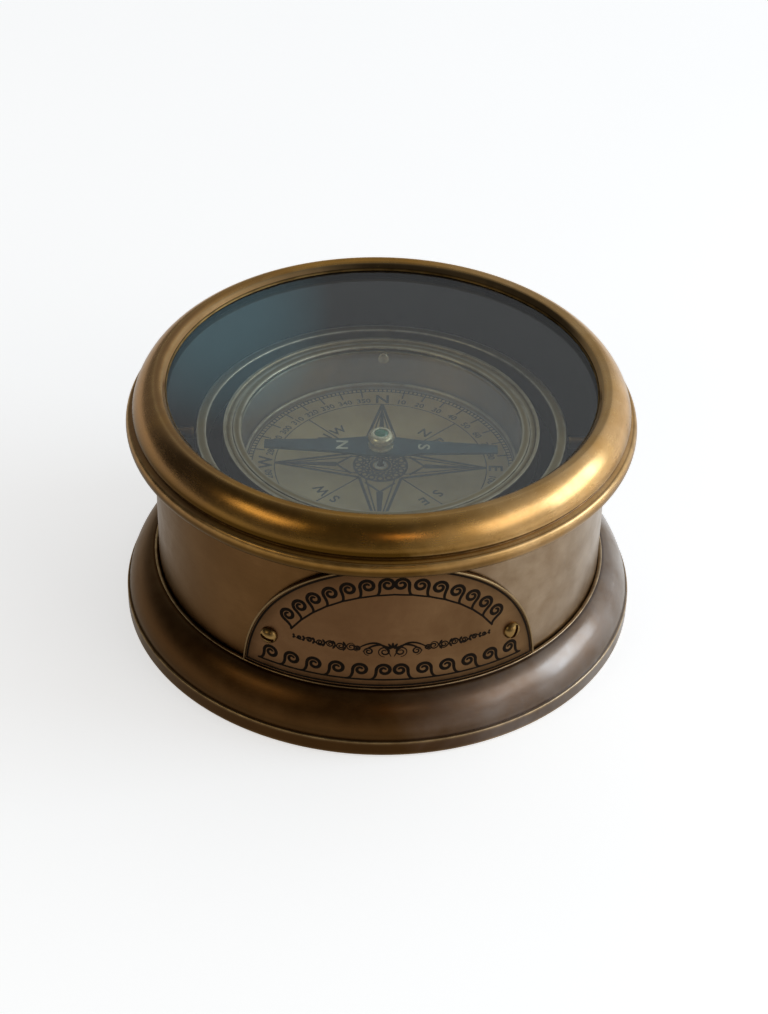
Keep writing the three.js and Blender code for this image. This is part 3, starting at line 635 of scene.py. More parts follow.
def jewel_finish(name):
    """A green glass jewel with a slightly cloudy body."""
    material, tree, shader = material_nodes(name)
    cloud = grain(tree, place_of(tree), **JEWEL_CLOUD)
    plug(tree, shader, {
        "Base Color": colour_mix(tree, mapped(tree, cloud, *NOISE_SPAN), JEWEL_DARK, JEWEL_LIGHT),
        "Roughness": mapped(tree, cloud, *NOISE_SPAN, *JEWEL_ROUGHNESS),
        "Coat Weight": 0.3,
        "Coat Roughness": 0.1,
    })
    return material


FELT_DARK = (0.010, 0.009, 0.008)
FELT_LIGHT = (0.045, 0.040, 0.036)
FELT_MATTING = {"scale": 700.0, "detail": 8.0, "roughness": 0.75, "distortion": 1.2}
FELT_FIBRES = 2600.0
FELT_SPAN = (0.2, 0.8)
FELT_ROUGHNESS = (0.85, 1.0)
FELT_RELIEF = (0.8, 0.2 * MM)


def felt_finish(name):
    """Dark felt with matted fibres."""
    material, tree, shader = material_nodes(name)
    place = place_of(tree)
    matted = grain(tree, place, **FELT_MATTING)
    cells = {"Vector": place, "Scale": FELT_FIBRES}
    fibre = add(tree, "ShaderNodeTexVoronoi", {"feature": "DISTANCE_TO_EDGE"}, cells).outputs["Distance"]
    plug(tree, shader, {
        "Base Color": colour_mix(tree, mapped(tree, matted, *NOISE_SPAN), FELT_DARK, FELT_LIGHT),
        "Roughness": mapped(tree, matted, *FELT_SPAN, *FELT_ROUGHNESS),
        "Normal": bumped(tree, calc(tree, "ADD", matted, fibre), *FELT_RELIEF),
        "Sheen Weight": 0.4,
    })
    return material


# Finishes

# The lit-side tones and shares below are painted light; the shaded-side tones and face-shade settings are
# painted shade.
AGED_BRASS = brass("aged_brass", dark=(0.080, 0.037, 0.011), light=(0.118, 0.058, 0.020),
                   worn=(0.38, 0.26, 0.125), roughness=0.30, lacquer=(0.0, 0.55), lit_side_share=0.42)
FOOT_BRASS = brass("foot_brass", dark=(0.066, 0.026, 0.006), light=(0.106, 0.045, 0.012),
                   worn=(0.56, 0.38, 0.18), roughness=0.34, lacquer=(0.0, 0.9), face_shade=(0.75, 0.55, 0.78),
                   lit_side_share=0.75, lit_side_tone=(0.082, 0.046, 0.025), face_shade_tone=DARK_FACE_SHADE_TONE)
GOLD_BRASS = brass("gold_brass", dark=(0.36, 0.168, 0.030), light=(0.52, 0.262, 0.052),
                   worn=(0.78, 0.52, 0.22), roughness=0.23, lacquer=(0.0, 0.48), face_shade=(1.0, 0.45, 0.78),
                   lit_side_share=0.28, shaded_side_tone=(0.28, 0.150, 0.062), lines=(2600.0, 0.12), relief=0.03)
SLOPE_BRASS = brass("slope_brass", dark=(0.26, 0.150, 0.055), light=(0.40, 0.240, 0.095),
                    worn=(0.62, 0.44, 0.20), roughness=0.12, lacquer=(0.2, 0.2), lines=(2600.0, 0.12),
                    relief=0.03)
# A near-black copy of brass, painted shade on the bezel's lip wall and the foot of its inner slope.
LIP_SHADE_BRASS = brass("lip_painted_shade", dark=(0.012, 0.007, 0.003), light=(0.030, 0.016, 0.006),
                  worn=(0.30, 0.19, 0.07), roughness=0.40)
PALE_BRASS = brass("pale_brass", dark=(0.22, 0.165, 0.075), light=(0.33, 0.25, 0.12),
                   worn=(0.64, 0.59, 0.46), roughness=0.34)
BRIGHT_BRASS = brass("bright_brass", dark=(0.58, 0.48, 0.28), light=(0.74, 0.66, 0.44),
                     worn=(0.88, 0.80, 0.60), roughness=0.24, lacquer=(0.3, 0.3), metal=0.7)
PLAQUE_BRASS = brass("plaque_brass", dark=(0.088, 0.042, 0.017), light=(0.128, 0.066, 0.029),
                     worn=(0.36, 0.23, 0.11), roughness=0.30, lit_side_share=0.2, lines=(900.0, 0.15))
BORDER_BRASS = brass("border_brass", dark=(0.13, 0.080, 0.035), light=(0.22, 0.145, 0.068),
                     worn=(0.46, 0.33, 0.18), roughness=0.30, lit_side_share=0.3)
SCREW_BRASS = brass("screw_brass", dark=(0.14, 0.078, 0.024), light=(0.26, 0.150, 0.048),
                    worn=(0.50, 0.33, 0.13), roughness=0.30, face_shade=(0.3, 0.32, 0.66))
BLACK_LACQUER = lacquered("black_lacquer", tone=(0.006, 0.006, 0.007), paler=(0.012, 0.012, 0.012),
                          roughness=0.6, gloss=0.15)
ENGRAVING = lacquered("engraving_fill", tone=(0.009, 0.006, 0.004), paler=(0.018, 0.011, 0.006),
                      roughness=0.85, gloss=0.06)
HUB_PLATE = lacquered("hub_plate", tone=(0.66, 0.67, 0.62), paler=(0.80, 0.81, 0.76), roughness=0.3,
                      gloss=0.6)
INK = lacquered("dial_ink", tone=(0.008, 0.014, 0.016), paler=(0.022, 0.031, 0.033), roughness=0.5)
LETTER_PAINT = lacquered("letter_paint", tone=(0.48, 0.50, 0.42), paler=(0.64, 0.65, 0.56), roughness=0.5)
BLUED_STEEL = steel("blued_steel", dark=(0.018, 0.050, 0.066), light=(0.040, 0.088, 0.110), roughness=0.34)
BRIGHT_STEEL = steel("bright_steel", dark=(0.30, 0.30, 0.29), light=(0.46, 0.46, 0.44), roughness=0.34)
BLACKENED_STEEL = steel("blackened_steel", dark=(0.010, 0.010, 0.010), light=(0.026, 0.025, 0.023),
                        roughness=0.45)
LEAD = steel("lead", dark=(0.075, 0.078, 0.082), light=(0.13, 0.135, 0.14), roughness=0.6)
DIAL = dial_finish("dial_lacquer")
GLASS = glass_finish("plate_glass")
JEWEL = jewel_finish("green_jewel")
FELT = felt_finish("dark_felt")


# Foot and drum

FOOT_BAND_HEIGHT = 3.2 * MM
FOOT_STEP_IN = 0.5 * MM
FOOT_STEP_HEIGHT = 0.4 * MM
FOOT_STEP_SHARE = 1 / 3
FOOT_RIM_WALL = 1.7 * MM
FOOT_LIP_OFFSET = 0.9 * MM
FOOT_LIP_HEIGHT = 0.35 * MM
FOOT_DIRT_AND_SHADE = 0.35
FOOT_GROOVE_DEPTH = 0.2 * MM
FOOT_GROOVE_WIDTH = 0.3 * MM
FOOT_LEDGE_REACH = 0.4 * MM
SKIRT_FLATNESS = 1.3
SEAT_CLEARANCE = 0.2 * MM
DRUM_WALL = 1.8 * MM

drum_radius = reach("drum_wall")
drum_bottom = low("drum_wall")
drum_top = high("drum_wall")
drum_inner = drum_radius - DRUM_WALL


def foot():
    """The flared foot: a band, a convex skirt and a lip round the drum."""
    bottom = low("base_foot")
    top = high("base_foot")
    radius = reach("base_foot")
    band_top = bottom + FOOT_BAND_HEIGHT
    skirt_bottom = band_top + FOOT_STEP_HEIGHT
    lip = drum_radius + FOOT_LIP_OFFSET
    seat = drum_radius + SEAT_CLEARANCE
    ledge = drum_inner - FOOT_LEDGE_REACH
    recess = radius - FOOT_RIM_WALL
    recess_top = high("base_plate")
    skirt_width = radius - FOOT_STEP_IN - lip
    skirt_height = top - FOOT_LIP_HEIGHT - skirt_bottom
    corners = [
        (ledge, recess_top, EASED),
        (recess, recess_top, EASED),
        (recess, bottom, EASED),
        (radius, bottom, SOFT),
        (radius, band_top, SOFT),
        (radius - FOOT_STEP_IN, band_top + FOOT_STEP_HEIGHT * FOOT_STEP_SHARE, CRISP),
        *ovolo(lip, skirt_bottom, skirt_width, skirt_height, SKIRT_FLATNESS),
        (lip, top, SOFT),
        (seat + FOOT_GROOVE_WIDTH, top, EASED),
        (seat, top - FOOT_GROOVE_DEPTH, 0),
        (seat, drum_bottom, EASED),
        (ledge, drum_bottom, EASED),
    ]
    mesh = revolved(rounded(corners))
    dirt_and_shade = mesh.verts.layers.float["dirt_and_shade"]
    for vertex in mesh.verts:
        # Dirt and painted shade in the foot's corners, made weaker.
        vertex[dirt_and_shade] *= FOOT_DIRT_AND_SHADE
    return belongs(finished("foot_ring", mesh, FOOT_BRASS), "case", "aged_brass", "base_foot")


def drum():
    """The drum's tube, brown outside and blackened inside."""
    corners = [(drum_inner, drum_bottom, EASED), (drum_radius, drum_bottom, EASED),
               (drum_radius, drum_top, SOFT), (drum_inner, drum_top, SOFT)]
    tube = turned("drum_tube", corners, AGED_BRASS, BLACK_LACQUER)
    middle = (drum_radius + drum_inner) / 2
    for face in tube.data.polygons:
        face.material_index = int(face.center.xy.length < middle)
    return belongs(tube, "case", "aged_brass", "drum_wall")


THREAD_PITCH = 1.5 * MM
THREAD_HEIGHT = 0.28 * MM
THREAD_TURNS = 2.4
THREAD_START = 3.9 * MM
THREAD_HALF_SHARE = 0.4
THREAD_CREST_SHARE = 0.08
THREAD_FADE = 12
THREAD_LEAST = 0.05


def drum_thread():
    """The thread round the drum's top that the bezel screws onto, running out at both ends."""
    mesh = bmesh.new()
    steps = int(THREAD_TURNS * TURN_SEGMENTS)
    root = drum_radius - THREAD_HEIGHT / 2
    half = THREAD_PITCH * THREAD_HALF_SHARE
    flat = THREAD_PITCH * THREAD_CREST_SHARE
    loops = []
    for step in range(steps + 1):
        share = step / steps
        turn = 2 * math.pi * THREAD_TURNS * share
        middle = drum_top - THREAD_START + THREAD_PITCH * THREAD_TURNS * share
        fade = held(THREAD_FADE * min(share, 1 - share), THREAD_LEAST)
        crest = drum_radius + THREAD_HEIGHT * fade
        corners = [(root, middle - half), (crest, middle - flat),
                   (crest, middle + flat), (root, middle + half)]
        loops.append([mesh.verts.new(round_drum(radius, turn, height)) for radius, height in corners])
    for loop, following in zip(loops, loops[1:]):
        bridge(mesh, loop, following)
    mesh.faces.new(loops[0])
    mesh.faces.new(loops[-1])
    return belongs(finished("drum_thread", mesh, AGED_BRASS), "case", "aged_brass")


FELT_EDGE = 0.35 * MM
FELT_UNEVEN = 0.12 * MM
FELT_LUMPS = 900
FELT_RINGS = 36


def felt():
    """The felt under the base plate, soft at its edge and a little uneven."""
    radius = reach("felt_pad")
    bottom = low("felt_pad")
    top = high("felt_pad")
    rings = [(radius * ring / FELT_RINGS, bottom, 0) for ring in range(FELT_RINGS)]
    corners = [*rings, (radius, bottom, FELT_EDGE), (radius, top, FELT_EDGE), (0, top, 0)]
    mesh = revolved(rounded(corners))
    for vertex in mesh.verts:
        dent = abs(noise.noise(vertex.co * FELT_LUMPS)) * FELT_UNEVEN
        vertex.co.xy *= 1 - dent / radius
        if vertex.co.z < bottom + FELT_EDGE:
            vertex.co.z += dent
    return belongs(finished("felt_disc", mesh, FELT), "case", "felt", "felt_pad")


# Bezel

BEZEL_BORE_GAP = 0.4 * MM
BEAD_HEIGHT = 3.0 * MM
BEAD_BULGE = 0.8 * MM
BEAD_PROUD = 1.33 * MM
BEZEL_GROOVE_DEPTH = 0.37 * MM
BEZEL_GROOVE_WIDTH = 1.2 * MM
BEZEL_GROOVE_SIDE = 0.4 * MM
CROWN_WIDTH = 4.24 * MM
CROWN_FLATNESS = 1.29
CREST_INSET = 2.57 * MM
SHOULDER_INSET = 1.4 * MM
SHOULDER_DROP = 0.12 * MM
SHOULDER_ROUNDING = 2.0 * MM
LIP_EDGE = 0.12 * MM
SLOPE_DARK_SHARE = 0.28
BEAD_FACE_SHADE = 0.75
BEAD_DIRT_AND_SHADE = 0.4
RABBET_GAP = 0.3 * MM


def bezel():
    """The screwed-on ring: a bead and a groove under a rounded crown that slopes in to the glass's rabbet."""
    bottom = low("bezel_ring")
    top = high("bezel_ring")
    bead_radius = reach("bezel_ring")
    bore = drum_radius + BEZEL_BORE_GAP
    glass_top = high("top_glass")
    rabbet = reach("top_glass") + RABBET_GAP
    rabbet_bottom = low("glass_retaining_ring")
    crown_radius = bead_radius - BEAD_PROUD
    crest = crown_radius - CROWN_WIDTH
    lip = crest - CREST_INSET
    bead_top = bottom + BEAD_HEIGHT
    bead_middle = bottom + BEAD_HEIGHT / 2
    crown_bottom = bead_top + BEZEL_GROOVE_WIDTH
    groove = crown_radius - BEZEL_GROOVE_DEPTH
    upper_bead = ovolo(bead_radius - BEAD_BULGE, bead_middle, BEAD_BULGE, BEAD_HEIGHT / 2)
    shoulder = crest - SHOULDER_INSET
    shoulder_height = top - SHOULDER_DROP
    lip_top = glass_top + LIP_EDGE
    # Below these, the inner slope and the lip wall get a near-black painted shade.
    dark_below = lip_top + SLOPE_DARK_SHARE * (shoulder_height - lip_top)
    dark_radius = lip + SLOPE_DARK_SHARE * (shoulder - lip)
    corners = [
        (bore, bottom, EASED),
        *mirrored(upper_bead, bead_middle),
        *upper_bead,
        (groove, bead_top + BEZEL_GROOVE_SIDE, EASED),
        (groove, crown_bottom - BEZEL_GROOVE_SIDE, EASED),
        *ovolo(crest, crown_bottom, CROWN_WIDTH, top - crown_bottom, CROWN_FLATNESS),
        (shoulder, shoulder_height, SHOULDER_ROUNDING),
        (dark_radius, dark_below, 0),
        (lip, lip_top, CRISP),
        (lip, glass_top, CRISP),
        (rabbet, glass_top, EASED),
        (rabbet, rabbet_bottom, EASED),
        (bore, rabbet_bottom, EASED),
    ]
    mesh = revolved(rounded(corners))
    dirt_and_shade = mesh.verts.layers.float["dirt_and_shade"]
    painted_face_shade = mesh.verts.layers.float["painted_face_shade"]
    for vertex in mesh.verts:
        # The bead gets less painted face shade, but at least some dirt and painted shade all over.
        if vertex.co.z < bead_top:
            vertex[painted_face_shade] *= BEAD_FACE_SHADE
            vertex[dirt_and_shade] = max(vertex[dirt_and_shade], BEAD_DIRT_AND_SHADE)
    piece = finished("bezel_turned", mesh, GOLD_BRASS, SLOPE_BRASS, LIP_SHADE_BRASS)
    # The inner slope takes the slope brass; its lowest part and the lip wall by the glass take the painted
    # shade.
    for face in piece.data.polygons:
        inside = face.center.xy.length < shoulder and face.center.z > glass_top
        face.material_index = int(inside) + int(inside and face.center.z < dark_below)
    return belongs(piece, "bezel", "gold_brass", "bezel_ring")


# Plaque

PLAQUE_AZIMUTH = math.radians(4.1)
PLAQUE_HALF_WIDTH = 30.2 * MM
PLAQUE_CHORD_DROP = 3.0 * MM
PLAQUE_WALL_GAP = 0.2 * MM
PLAQUE_THICKNESS = 0.5 * MM
PLAQUE_EDGE = 0.1 * MM
PLAQUE_ARC_STEPS = 120
PLAQUE_CHORD_STEPS = 72
PLAQUE_FIELD_RINGS = 16
PLAQUE_DIRT_AND_SHADE = ((0.6 * MM, 0.9), (1.4 * MM, 0.5), (2.8 * MM, 0.12))
ENGRAVED_BELOW = 0.04 * MM
ENGRAVED_ABOVE = 0.025 * MM

plaque_bottom = low("plaque")
plaque_top = high("plaque")
plaque_back = drum_radius + PLAQUE_WALL_GAP
plaque_face = plaque_back + PLAQUE_THICKNESS
plaque_centre = plaque_bottom - PLAQUE_CHORD_DROP


def on_plaque(along, height, radius):
    """A point at a radius, a length along the wall from the plaque's middle and a height."""
    return round_drum(radius, PLAQUE_AZIMUTH + along / plaque_face, height)


def plaque_arch(margin, lift):
    """The plaque's arch, unrolled and drawn in by a margin, from left to right above a lift on the chord."""
    half_height = plaque_top - plaque_centre - margin
    half_width = PLAQUE_HALF_WIDTH - margin
    start = math.asin((PLAQUE_CHORD_DROP + lift) / half_height)
    points = []
    for step in range(PLAQUE_ARC_STEPS + 1):
        turn = math.pi - start - (math.pi - 2 * start) * step / PLAQUE_ARC_STEPS
        points.append(Vector((half_width * math.cos(turn), plaque_centre + half_height * math.sin(turn))))
    return points


def plaque_outline(margin, lift):
    """The arch, closed along the chord."""
    arch = plaque_arch(margin, lift)
    chord = [arch[-1].lerp(arch[0], step / PLAQUE_CHORD_STEPS) for step in range(1, PLAQUE_CHORD_STEPS)]
    return arch + chord


def plaque():
    """A bent half-moon plate with eased edges, darker towards its border with dirt and painted shade."""
    edges = [(0.0, plaque_back), (0.0, plaque_face - PLAQUE_EDGE), (PLAQUE_EDGE, plaque_face)]
    levels = [(margin, radius, UNMARKED) for margin, radius in edges]
    # Dirt and painted shade towards the plaque's border.
    levels += [(margin + PLAQUE_EDGE, plaque_face, (0.0, dirt_and_shade, 0.0)) for margin, dirt_and_shade in PLAQUE_DIRT_AND_SHADE]
    middle = Vector((0, (plaque_bottom + plaque_top) / 2))
    shares = [step / PLAQUE_FIELD_RINGS for step in range(PLAQUE_FIELD_RINGS)]
    last_margin = levels[-1][0]
    back_edge = plaque_outline(0.0, 0.0)
    front_edge = plaque_outline(last_margin, last_margin)
    rings = [[on_plaque(*middle.lerp(point, share), plaque_back) for point in back_edge] for share in shares]
    for margin, radius, _ in levels:
        rings.append([on_plaque(*point, radius) for point in plaque_outline(margin, margin)])
    for share in reversed(shares):
        rings.append([on_plaque(*middle.lerp(point, share), plaque_face) for point in front_edge])
    rings[0] = rings[0][:1]
    rings[-1] = rings[-1][:1]
    plain = [UNMARKED] * PLAQUE_FIELD_RINGS
    mesh = skin(rings, plain + [marks for _, _, marks in levels] + plain)
    return belongs(finished("plaque_plate", mesh, PLAQUE_BRASS), "case", "aged_brass", "plaque")


BORDER_HALF_WIDTH = 0.25 * MM
BORDER_RISE = 0.3 * MM
BORDER_SINK = 0.1 * MM
BORDER_STEPS = 10


def plaque_border():
    """The half-round bead along the plaque's arch."""
    root = plaque_face - BORDER_SINK
    section = []
    for step in range(BORDER_STEPS + 1):
        turn = math.pi * step / BORDER_STEPS
        section.append((-BORDER_HALF_WIDTH * math.cos(turn), plaque_face + BORDER_RISE * math.sin(turn)))
    section += [(BORDER_HALF_WIDTH, root), (-BORDER_HALF_WIDTH, root)]
    path = plaque_arch(BORDER_HALF_WIDTH, 0.0)
    mesh = bmesh.new()
    swept(mesh, path, [section] * len(path), on_plaque)
    return belongs(finished("plaque_border", mesh, BORDER_BRASS), "case", "aged_brass")


LINE_MARGIN = 0.86 * MM
LINE_LIFT = 0.5 * MM
LINE_HALF_WIDTH = 0.2 * MM


def border_line():
    """The dark line round the plaque, inside its bead and just above its chord."""
    inner = plaque_outline(LINE_MARGIN + LINE_HALF_WIDTH, LINE_LIFT + LINE_HALF_WIDTH)
    outer = plaque_outline(LINE_MARGIN - LINE_HALF_WIDTH, LINE_LIFT - LINE_HALF_WIDTH)
    bottom = plaque_face - ENGRAVED_BELOW
    top = plaque_face + ENGRAVED_ABOVE
    levels = [(outer, bottom), (inner, bottom), (inner, top), (outer, top)]
    rings = [[on_plaque(*point, radius) for point in edge] for edge, radius in levels]
    mesh = skin(rings, [UNMARKED] * len(levels))
    return belongs(finished("plaque_line", mesh, ENGRAVING), "case", "aged_brass")


def engraved_stroke(mesh, path, half_widths):
    """A dark stroke along a path on the plaque."""
    ribbon(mesh, path, half_widths, plaque_face - ENGRAVED_BELOW, plaque_face + ENGRAVED_ABOVE, on_plaque)


CURL_TIGHTNESS = 0.82
CURL_STEPS = 30
STROKE_ENDS = 0.35


def curl(centre, radius, start, turns, tightness=CURL_TIGHTNESS):
    """A spiral that winds inwards from an angle on a circle."""
    points = []
    for step in range(CURL_STEPS + 1):
        share = step / CURL_STEPS
        angle = start + 2 * math.pi * turns * share
        size = radius * (1 - tightness * share)
        points.append(Vector((centre[0] + size * math.cos(angle), centre[1] + size * math.sin(angle))))
    return points


def tapered(count, half_width, ends=STROKE_ENDS):
    """Half widths that swell in the middle of a stroke and thin out at its ends."""
    swells = [math.sin(math.pi * index / (count - 1)) for index in range(count)]
    return [half_width * (ends + (1 - ends) * swell) for swell in swells]


WAVE_HEIGHT = 3.9 * MM
WAVE_STROKE = 0.36 * MM
WAVE_BASE_STROKE = 0.2 * MM
WAVE_TURNS = 1.45
WAVE_TIGHTNESS = 0.78
WAVE_ENDS = 0.55
WAVE_CURL_SHARE = 0.38
WAVE_SHIFT_SHARE = 0.16
WAVE_STEM_STEPS = 12
ARCH_BAND_MARGIN = 4.7 * MM
ARCH_BAND_LIFT = 12.6 * MM
ARCH_WAVES = 14
FOOT_BAND_RISE = 3.85 * MM
FOOT_BAND_REACH = 26.6 * MM
FOOT_WAVES = 12


def spread_out(path, count):
    """The middles and directions of a number of equal stretches along a path."""
    lengths = [(end - start).length for start, end in zip(path, path[1:])]
    stretch = sum(lengths) / count
    spots = []
    done = 0
    for start, end, length in zip(path, path[1:], lengths):
        while len(spots) < count and (len(spots) + 0.5) * stretch <= done + length:
            share = ((len(spots) + 0.5) * stretch - done) / length
            spots.append((start.lerp(end, share), (end - start).normalized()))
        done += length
    return spots, stretch


def wave(width):
    """One running wave, as a stem that rises from the foot and curls over."""
    radius = WAVE_CURL_SHARE * WAVE_HEIGHT
    centre = Vector((WAVE_SHIFT_SHARE * width, WAVE_HEIGHT / 2 - radius))
    foot_end = Vector((-width / 2, -WAVE_HEIGHT / 2))
    shoulder = centre - Vector((radius, 0))
    pull = Vector((shoulder.x, foot_end.y))
    stem = [bent(foot_end, pull, shoulder, step / WAVE_STEM_STEPS) for step in range(WAVE_STEM_STEPS)]
    return stem + curl(centre, radius, math.pi, -WAVE_TURNS, WAVE_TIGHTNESS)


def wave_band(mesh, path, count):
    """A band of running waves that meet in the middle, on a base line."""
    spots, width = spread_out(path, count)
    shape = wave(width)
    halves = tapered(len(shape), WAVE_STROKE, WAVE_ENDS)
    for index, (spot, along) in enumerate(spots):
        across = Vector((-along.y, along.x))
        way = along if index < count / 2 else -along
        engraved_stroke(mesh, [spot + way * point.x + across * point.y for point in shape], halves)
        below = spot - across * WAVE_HEIGHT / 2
        base = [below - along * width / 2, below, below + along * width / 2]
        engraved_stroke(mesh, base, [WAVE_BASE_STROKE] * len(base))


def plaque_bands():
    """Running-wave bands along the plaque's arch and its foot."""
    mesh = bmesh.new()
    wave_band(mesh, plaque_arch(ARCH_BAND_MARGIN, ARCH_BAND_LIFT), ARCH_WAVES)
    level = plaque_bottom + FOOT_BAND_RISE
    wave_band(mesh, [Vector((-FOOT_BAND_REACH, level)), Vector((FOOT_BAND_REACH, level))], FOOT_WAVES)
    return belongs(finished("plaque_bands", mesh, ENGRAVING), "case", "aged_brass")


SCROLL_RISE = 9.4 * MM
SCROLL_TILT = 0.6 * MM
SCROLL_START = 0.36
SCROLL_REACH = 18.8 * MM
SCROLL_BENDS = 6
SCROLL_SWING = 1.05 * MM
SCROLL_CURL = 1.0 * MM
SCROLL_THINNING = 0.6
SCROLL_STROKE = 0.16 * MM
SCROLL_STEPS = 84
SCROLL_TURNS = 1.6
SCROLL_LEAF = 1.15 * MM
SCROLL_LEAF_LEAN = 0.5
SCROLL_LEAF_STROKE = 0.24 * MM
SCROLL_LEAF_STEPS = 12

# Curls at the scroll's heart, as (along, rise, radius), and bent leaves, as (root, pull, tip) points
HEART_CURLS = (
    (1.5 * MM, -0.5 * MM, 1.3 * MM),
    (4.5 * MM, -0.5 * MM, 1.0 * MM),
    (6.6 * MM, 0.1 * MM, 0.7 * MM),
)
HEART_TURNS = 1.7
HEART_CURL_STROKE = 0.176 * MM
HEART_SWEEPS = (
    ((0.3 * MM, -1.7 * MM), (2.4 * MM, 4.2 * MM), (7.2 * MM, -0.5 * MM)),
    ((1.2 * MM, 0.8 * MM), (3.2 * MM, 1.9 * MM), (5.6 * MM, -0.6 * MM)),
)
HEART_SWEEP_STROKE = 0.224 * MM
HEART_LEAF = 1.7 * MM
HEART_LEAF_ROOT = 0.34 * MM
HEART_LEAF_STROKE = 0.256 * MM
HEART_LEAF_TURNS_DEG = (-60, -30, 0, 30, 60)


def scroll_point(side, share, across=0.0):
    """A point along one arm of the scroll, a little way off its middle line."""
    height = plaque_bottom + SCROLL_RISE + SCROLL_TILT * share + across
    return Vector((side * SCROLL_REACH * share, height))


def leaf(mesh, root, tip, half_width):
    """A straight leaf that swells in its middle."""
    path = [root.lerp(tip, step / SCROLL_LEAF_STEPS) for step in range(SCROLL_LEAF_STEPS + 1)]
    engraved_stroke(mesh, path, tapered(len(path), half_width))


def sweep(mesh, root, pull, tip, half_width):
    """A bent leaf, drawn out towards a point."""
    path = [bent(root, pull, tip, step / SCROLL_LEAF_STEPS) for step in range(SCROLL_LEAF_STEPS + 1)]
    engraved_stroke(mesh, path, tapered(len(path), half_width))


def scroll_arm(mesh, side):
    """A waving stem that thins out, with a curl in every bend and leaves between them."""
    stem = []
    for step in range(SCROLL_STEPS + 1):
        done = step / SCROLL_STEPS
        swing = SCROLL_SWING * (1 - SCROLL_THINNING * done) * math.sin(math.pi * SCROLL_BENDS * done)
        stem.append(scroll_point(side, SCROLL_START + (1 - SCROLL_START) * done, swing))
    engraved_stroke(mesh, stem, tapered(len(stem), SCROLL_STROKE))
    for bend in range(SCROLL_BENDS):
        done = (bend + 0.5) / SCROLL_BENDS
        thinned = 1 - SCROLL_THINNING * done
        up = -1 if bend % 2 else 1
        share = SCROLL_START + (1 - SCROLL_START) * done
        centre = scroll_point(side, share, up * thinned * (SCROLL_SWING - SCROLL_CURL))
        spiral = curl(centre, SCROLL_CURL * thinned, up * math.pi / 2, -SCROLL_TURNS * up * side)
        engraved_stroke(mesh, spiral, tapered(len(spiral), SCROLL_STROKE))
        root = stem[(bend + 1) * SCROLL_STEPS // SCROLL_BENDS]
        for rise in (-1, 1):
            lean = Vector((SCROLL_LEAF_LEAN * side, rise))
            leaf(mesh, root, root + lean * SCROLL_LEAF * thinned, SCROLL_LEAF_STROKE)


def scroll():
    """A traditional scroll: two arms from a heart of curls and leaves."""
    mesh = bmesh.new()
    middle = scroll_point(1, 0)
    for side in (-1, 1):
        scroll_arm(mesh, side)
        for along, rise, size in HEART_CURLS:
            spiral = curl(middle + Vector((side * along, rise)), size, -math.pi / 2, HEART_TURNS * side)
            engraved_stroke(mesh, spiral, tapered(len(spiral), HEART_CURL_STROKE))
        for points in HEART_SWEEPS:
            root, pull, tip = (middle + Vector((side * along, rise)) for along, rise in points)
            sweep(mesh, root, pull, tip, HEART_SWEEP_STROKE)
    for turn in HEART_LEAF_TURNS_DEG:
        lean = math.radians(turn)
        way = Vector((math.sin(lean), math.cos(lean)))
        leaf(mesh, middle + HEART_LEAF_ROOT * way, middle + HEART_LEAF * way, HEART_LEAF_STROKE)
    return belongs(finished("plaque_scroll", mesh, ENGRAVING), "case", "aged_brass")


# Screws

SLOT_WIDTH_SHARE = 0.2
SLOT_DEPTH_SHARE = 0.55
PLAQUE_SCREW_SLOTS = {"plaque_screw_left": math.radians(76), "plaque_screw_right": math.radians(-28)}
PLAQUE_SCREW_HEAD = 1.75 * MM
PLAQUE_SCREW_DOME = 1.4 * MM
PLAQUE_SCREW_NECK_SHARE = 0.6


def slotted(name, corners, head_radius, head_top, matrix, material):
    """A screw turned about Z, with a slot across its head, set in place by a matrix."""
    screw = finished(name, revolved(rounded(corners), SMALL_SEGMENTS), material)
    box = bmesh.new()
    size = (2 * head_radius * SLOT_WIDTH_SHARE, 4 * head_radius, 2 * head_top * SLOT_DEPTH_SHARE)
    across_head = Matrix.Translation((0, 0, head_top)) @ Matrix.Diagonal((*size, 1))
    bmesh.ops.create_cube(box, size=1.0, matrix=across_head)
    cutter = finished("slot_cutter", box)
    cut = screw.modifiers.new("slot", "BOOLEAN")
    cut.object = cutter
    cut.solver = "EXACT"
    graph = bpy.context.evaluated_depsgraph_get()
    data = bpy.data.meshes.new_from_object(screw.evaluated_get(graph))
    screw.modifiers.clear()
    bpy.data.objects.remove(cutter)
    screw.data = data
    data.transform(matrix)
    data.set_sharp_from_angle(angle=SMOOTH_ANGLE)
    return screw


def outwards(azimuth, radius, height, slot_turn=0.0):
    """The matrix that points a screw away from the drum's axis at an azimuth from the front."""
    lie = Matrix.Rotation(azimuth, 4, "Z") @ Matrix.Rotation(math.pi / 2, 4, "X")
    return Matrix.Translation(round_drum(radius, azimuth, height)) @ lie @ Matrix.Rotation(slot_turn, 4, "Z")


def plaque_screws():
    """The two round-head screws of the plaque."""
    neck = PLAQUE_SCREW_HEAD * PLAQUE_SCREW_NECK_SHARE
    corners = [(0, -PLAQUE_THICKNESS, 0), (neck, -PLAQUE_THICKNESS, 0), (neck, 0, 0),
               *ovolo(0, 0, PLAQUE_SCREW_HEAD, PLAQUE_SCREW_DOME)]
    for name, slot_turn in PLAQUE_SCREW_SLOTS.items():
        start, end = (Vector(corner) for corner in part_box(name))
        middle = (start + end) / 2
        matrix = outwards(math.atan2(middle.x, -middle.y), plaque_face, middle.z, slot_turn)
        screw = slotted(f"{name}_head", corners, PLAQUE_SCREW_HEAD, PLAQUE_SCREW_DOME, matrix, SCREW_BRASS)
        belongs(screw, "case", "gold_brass", name)


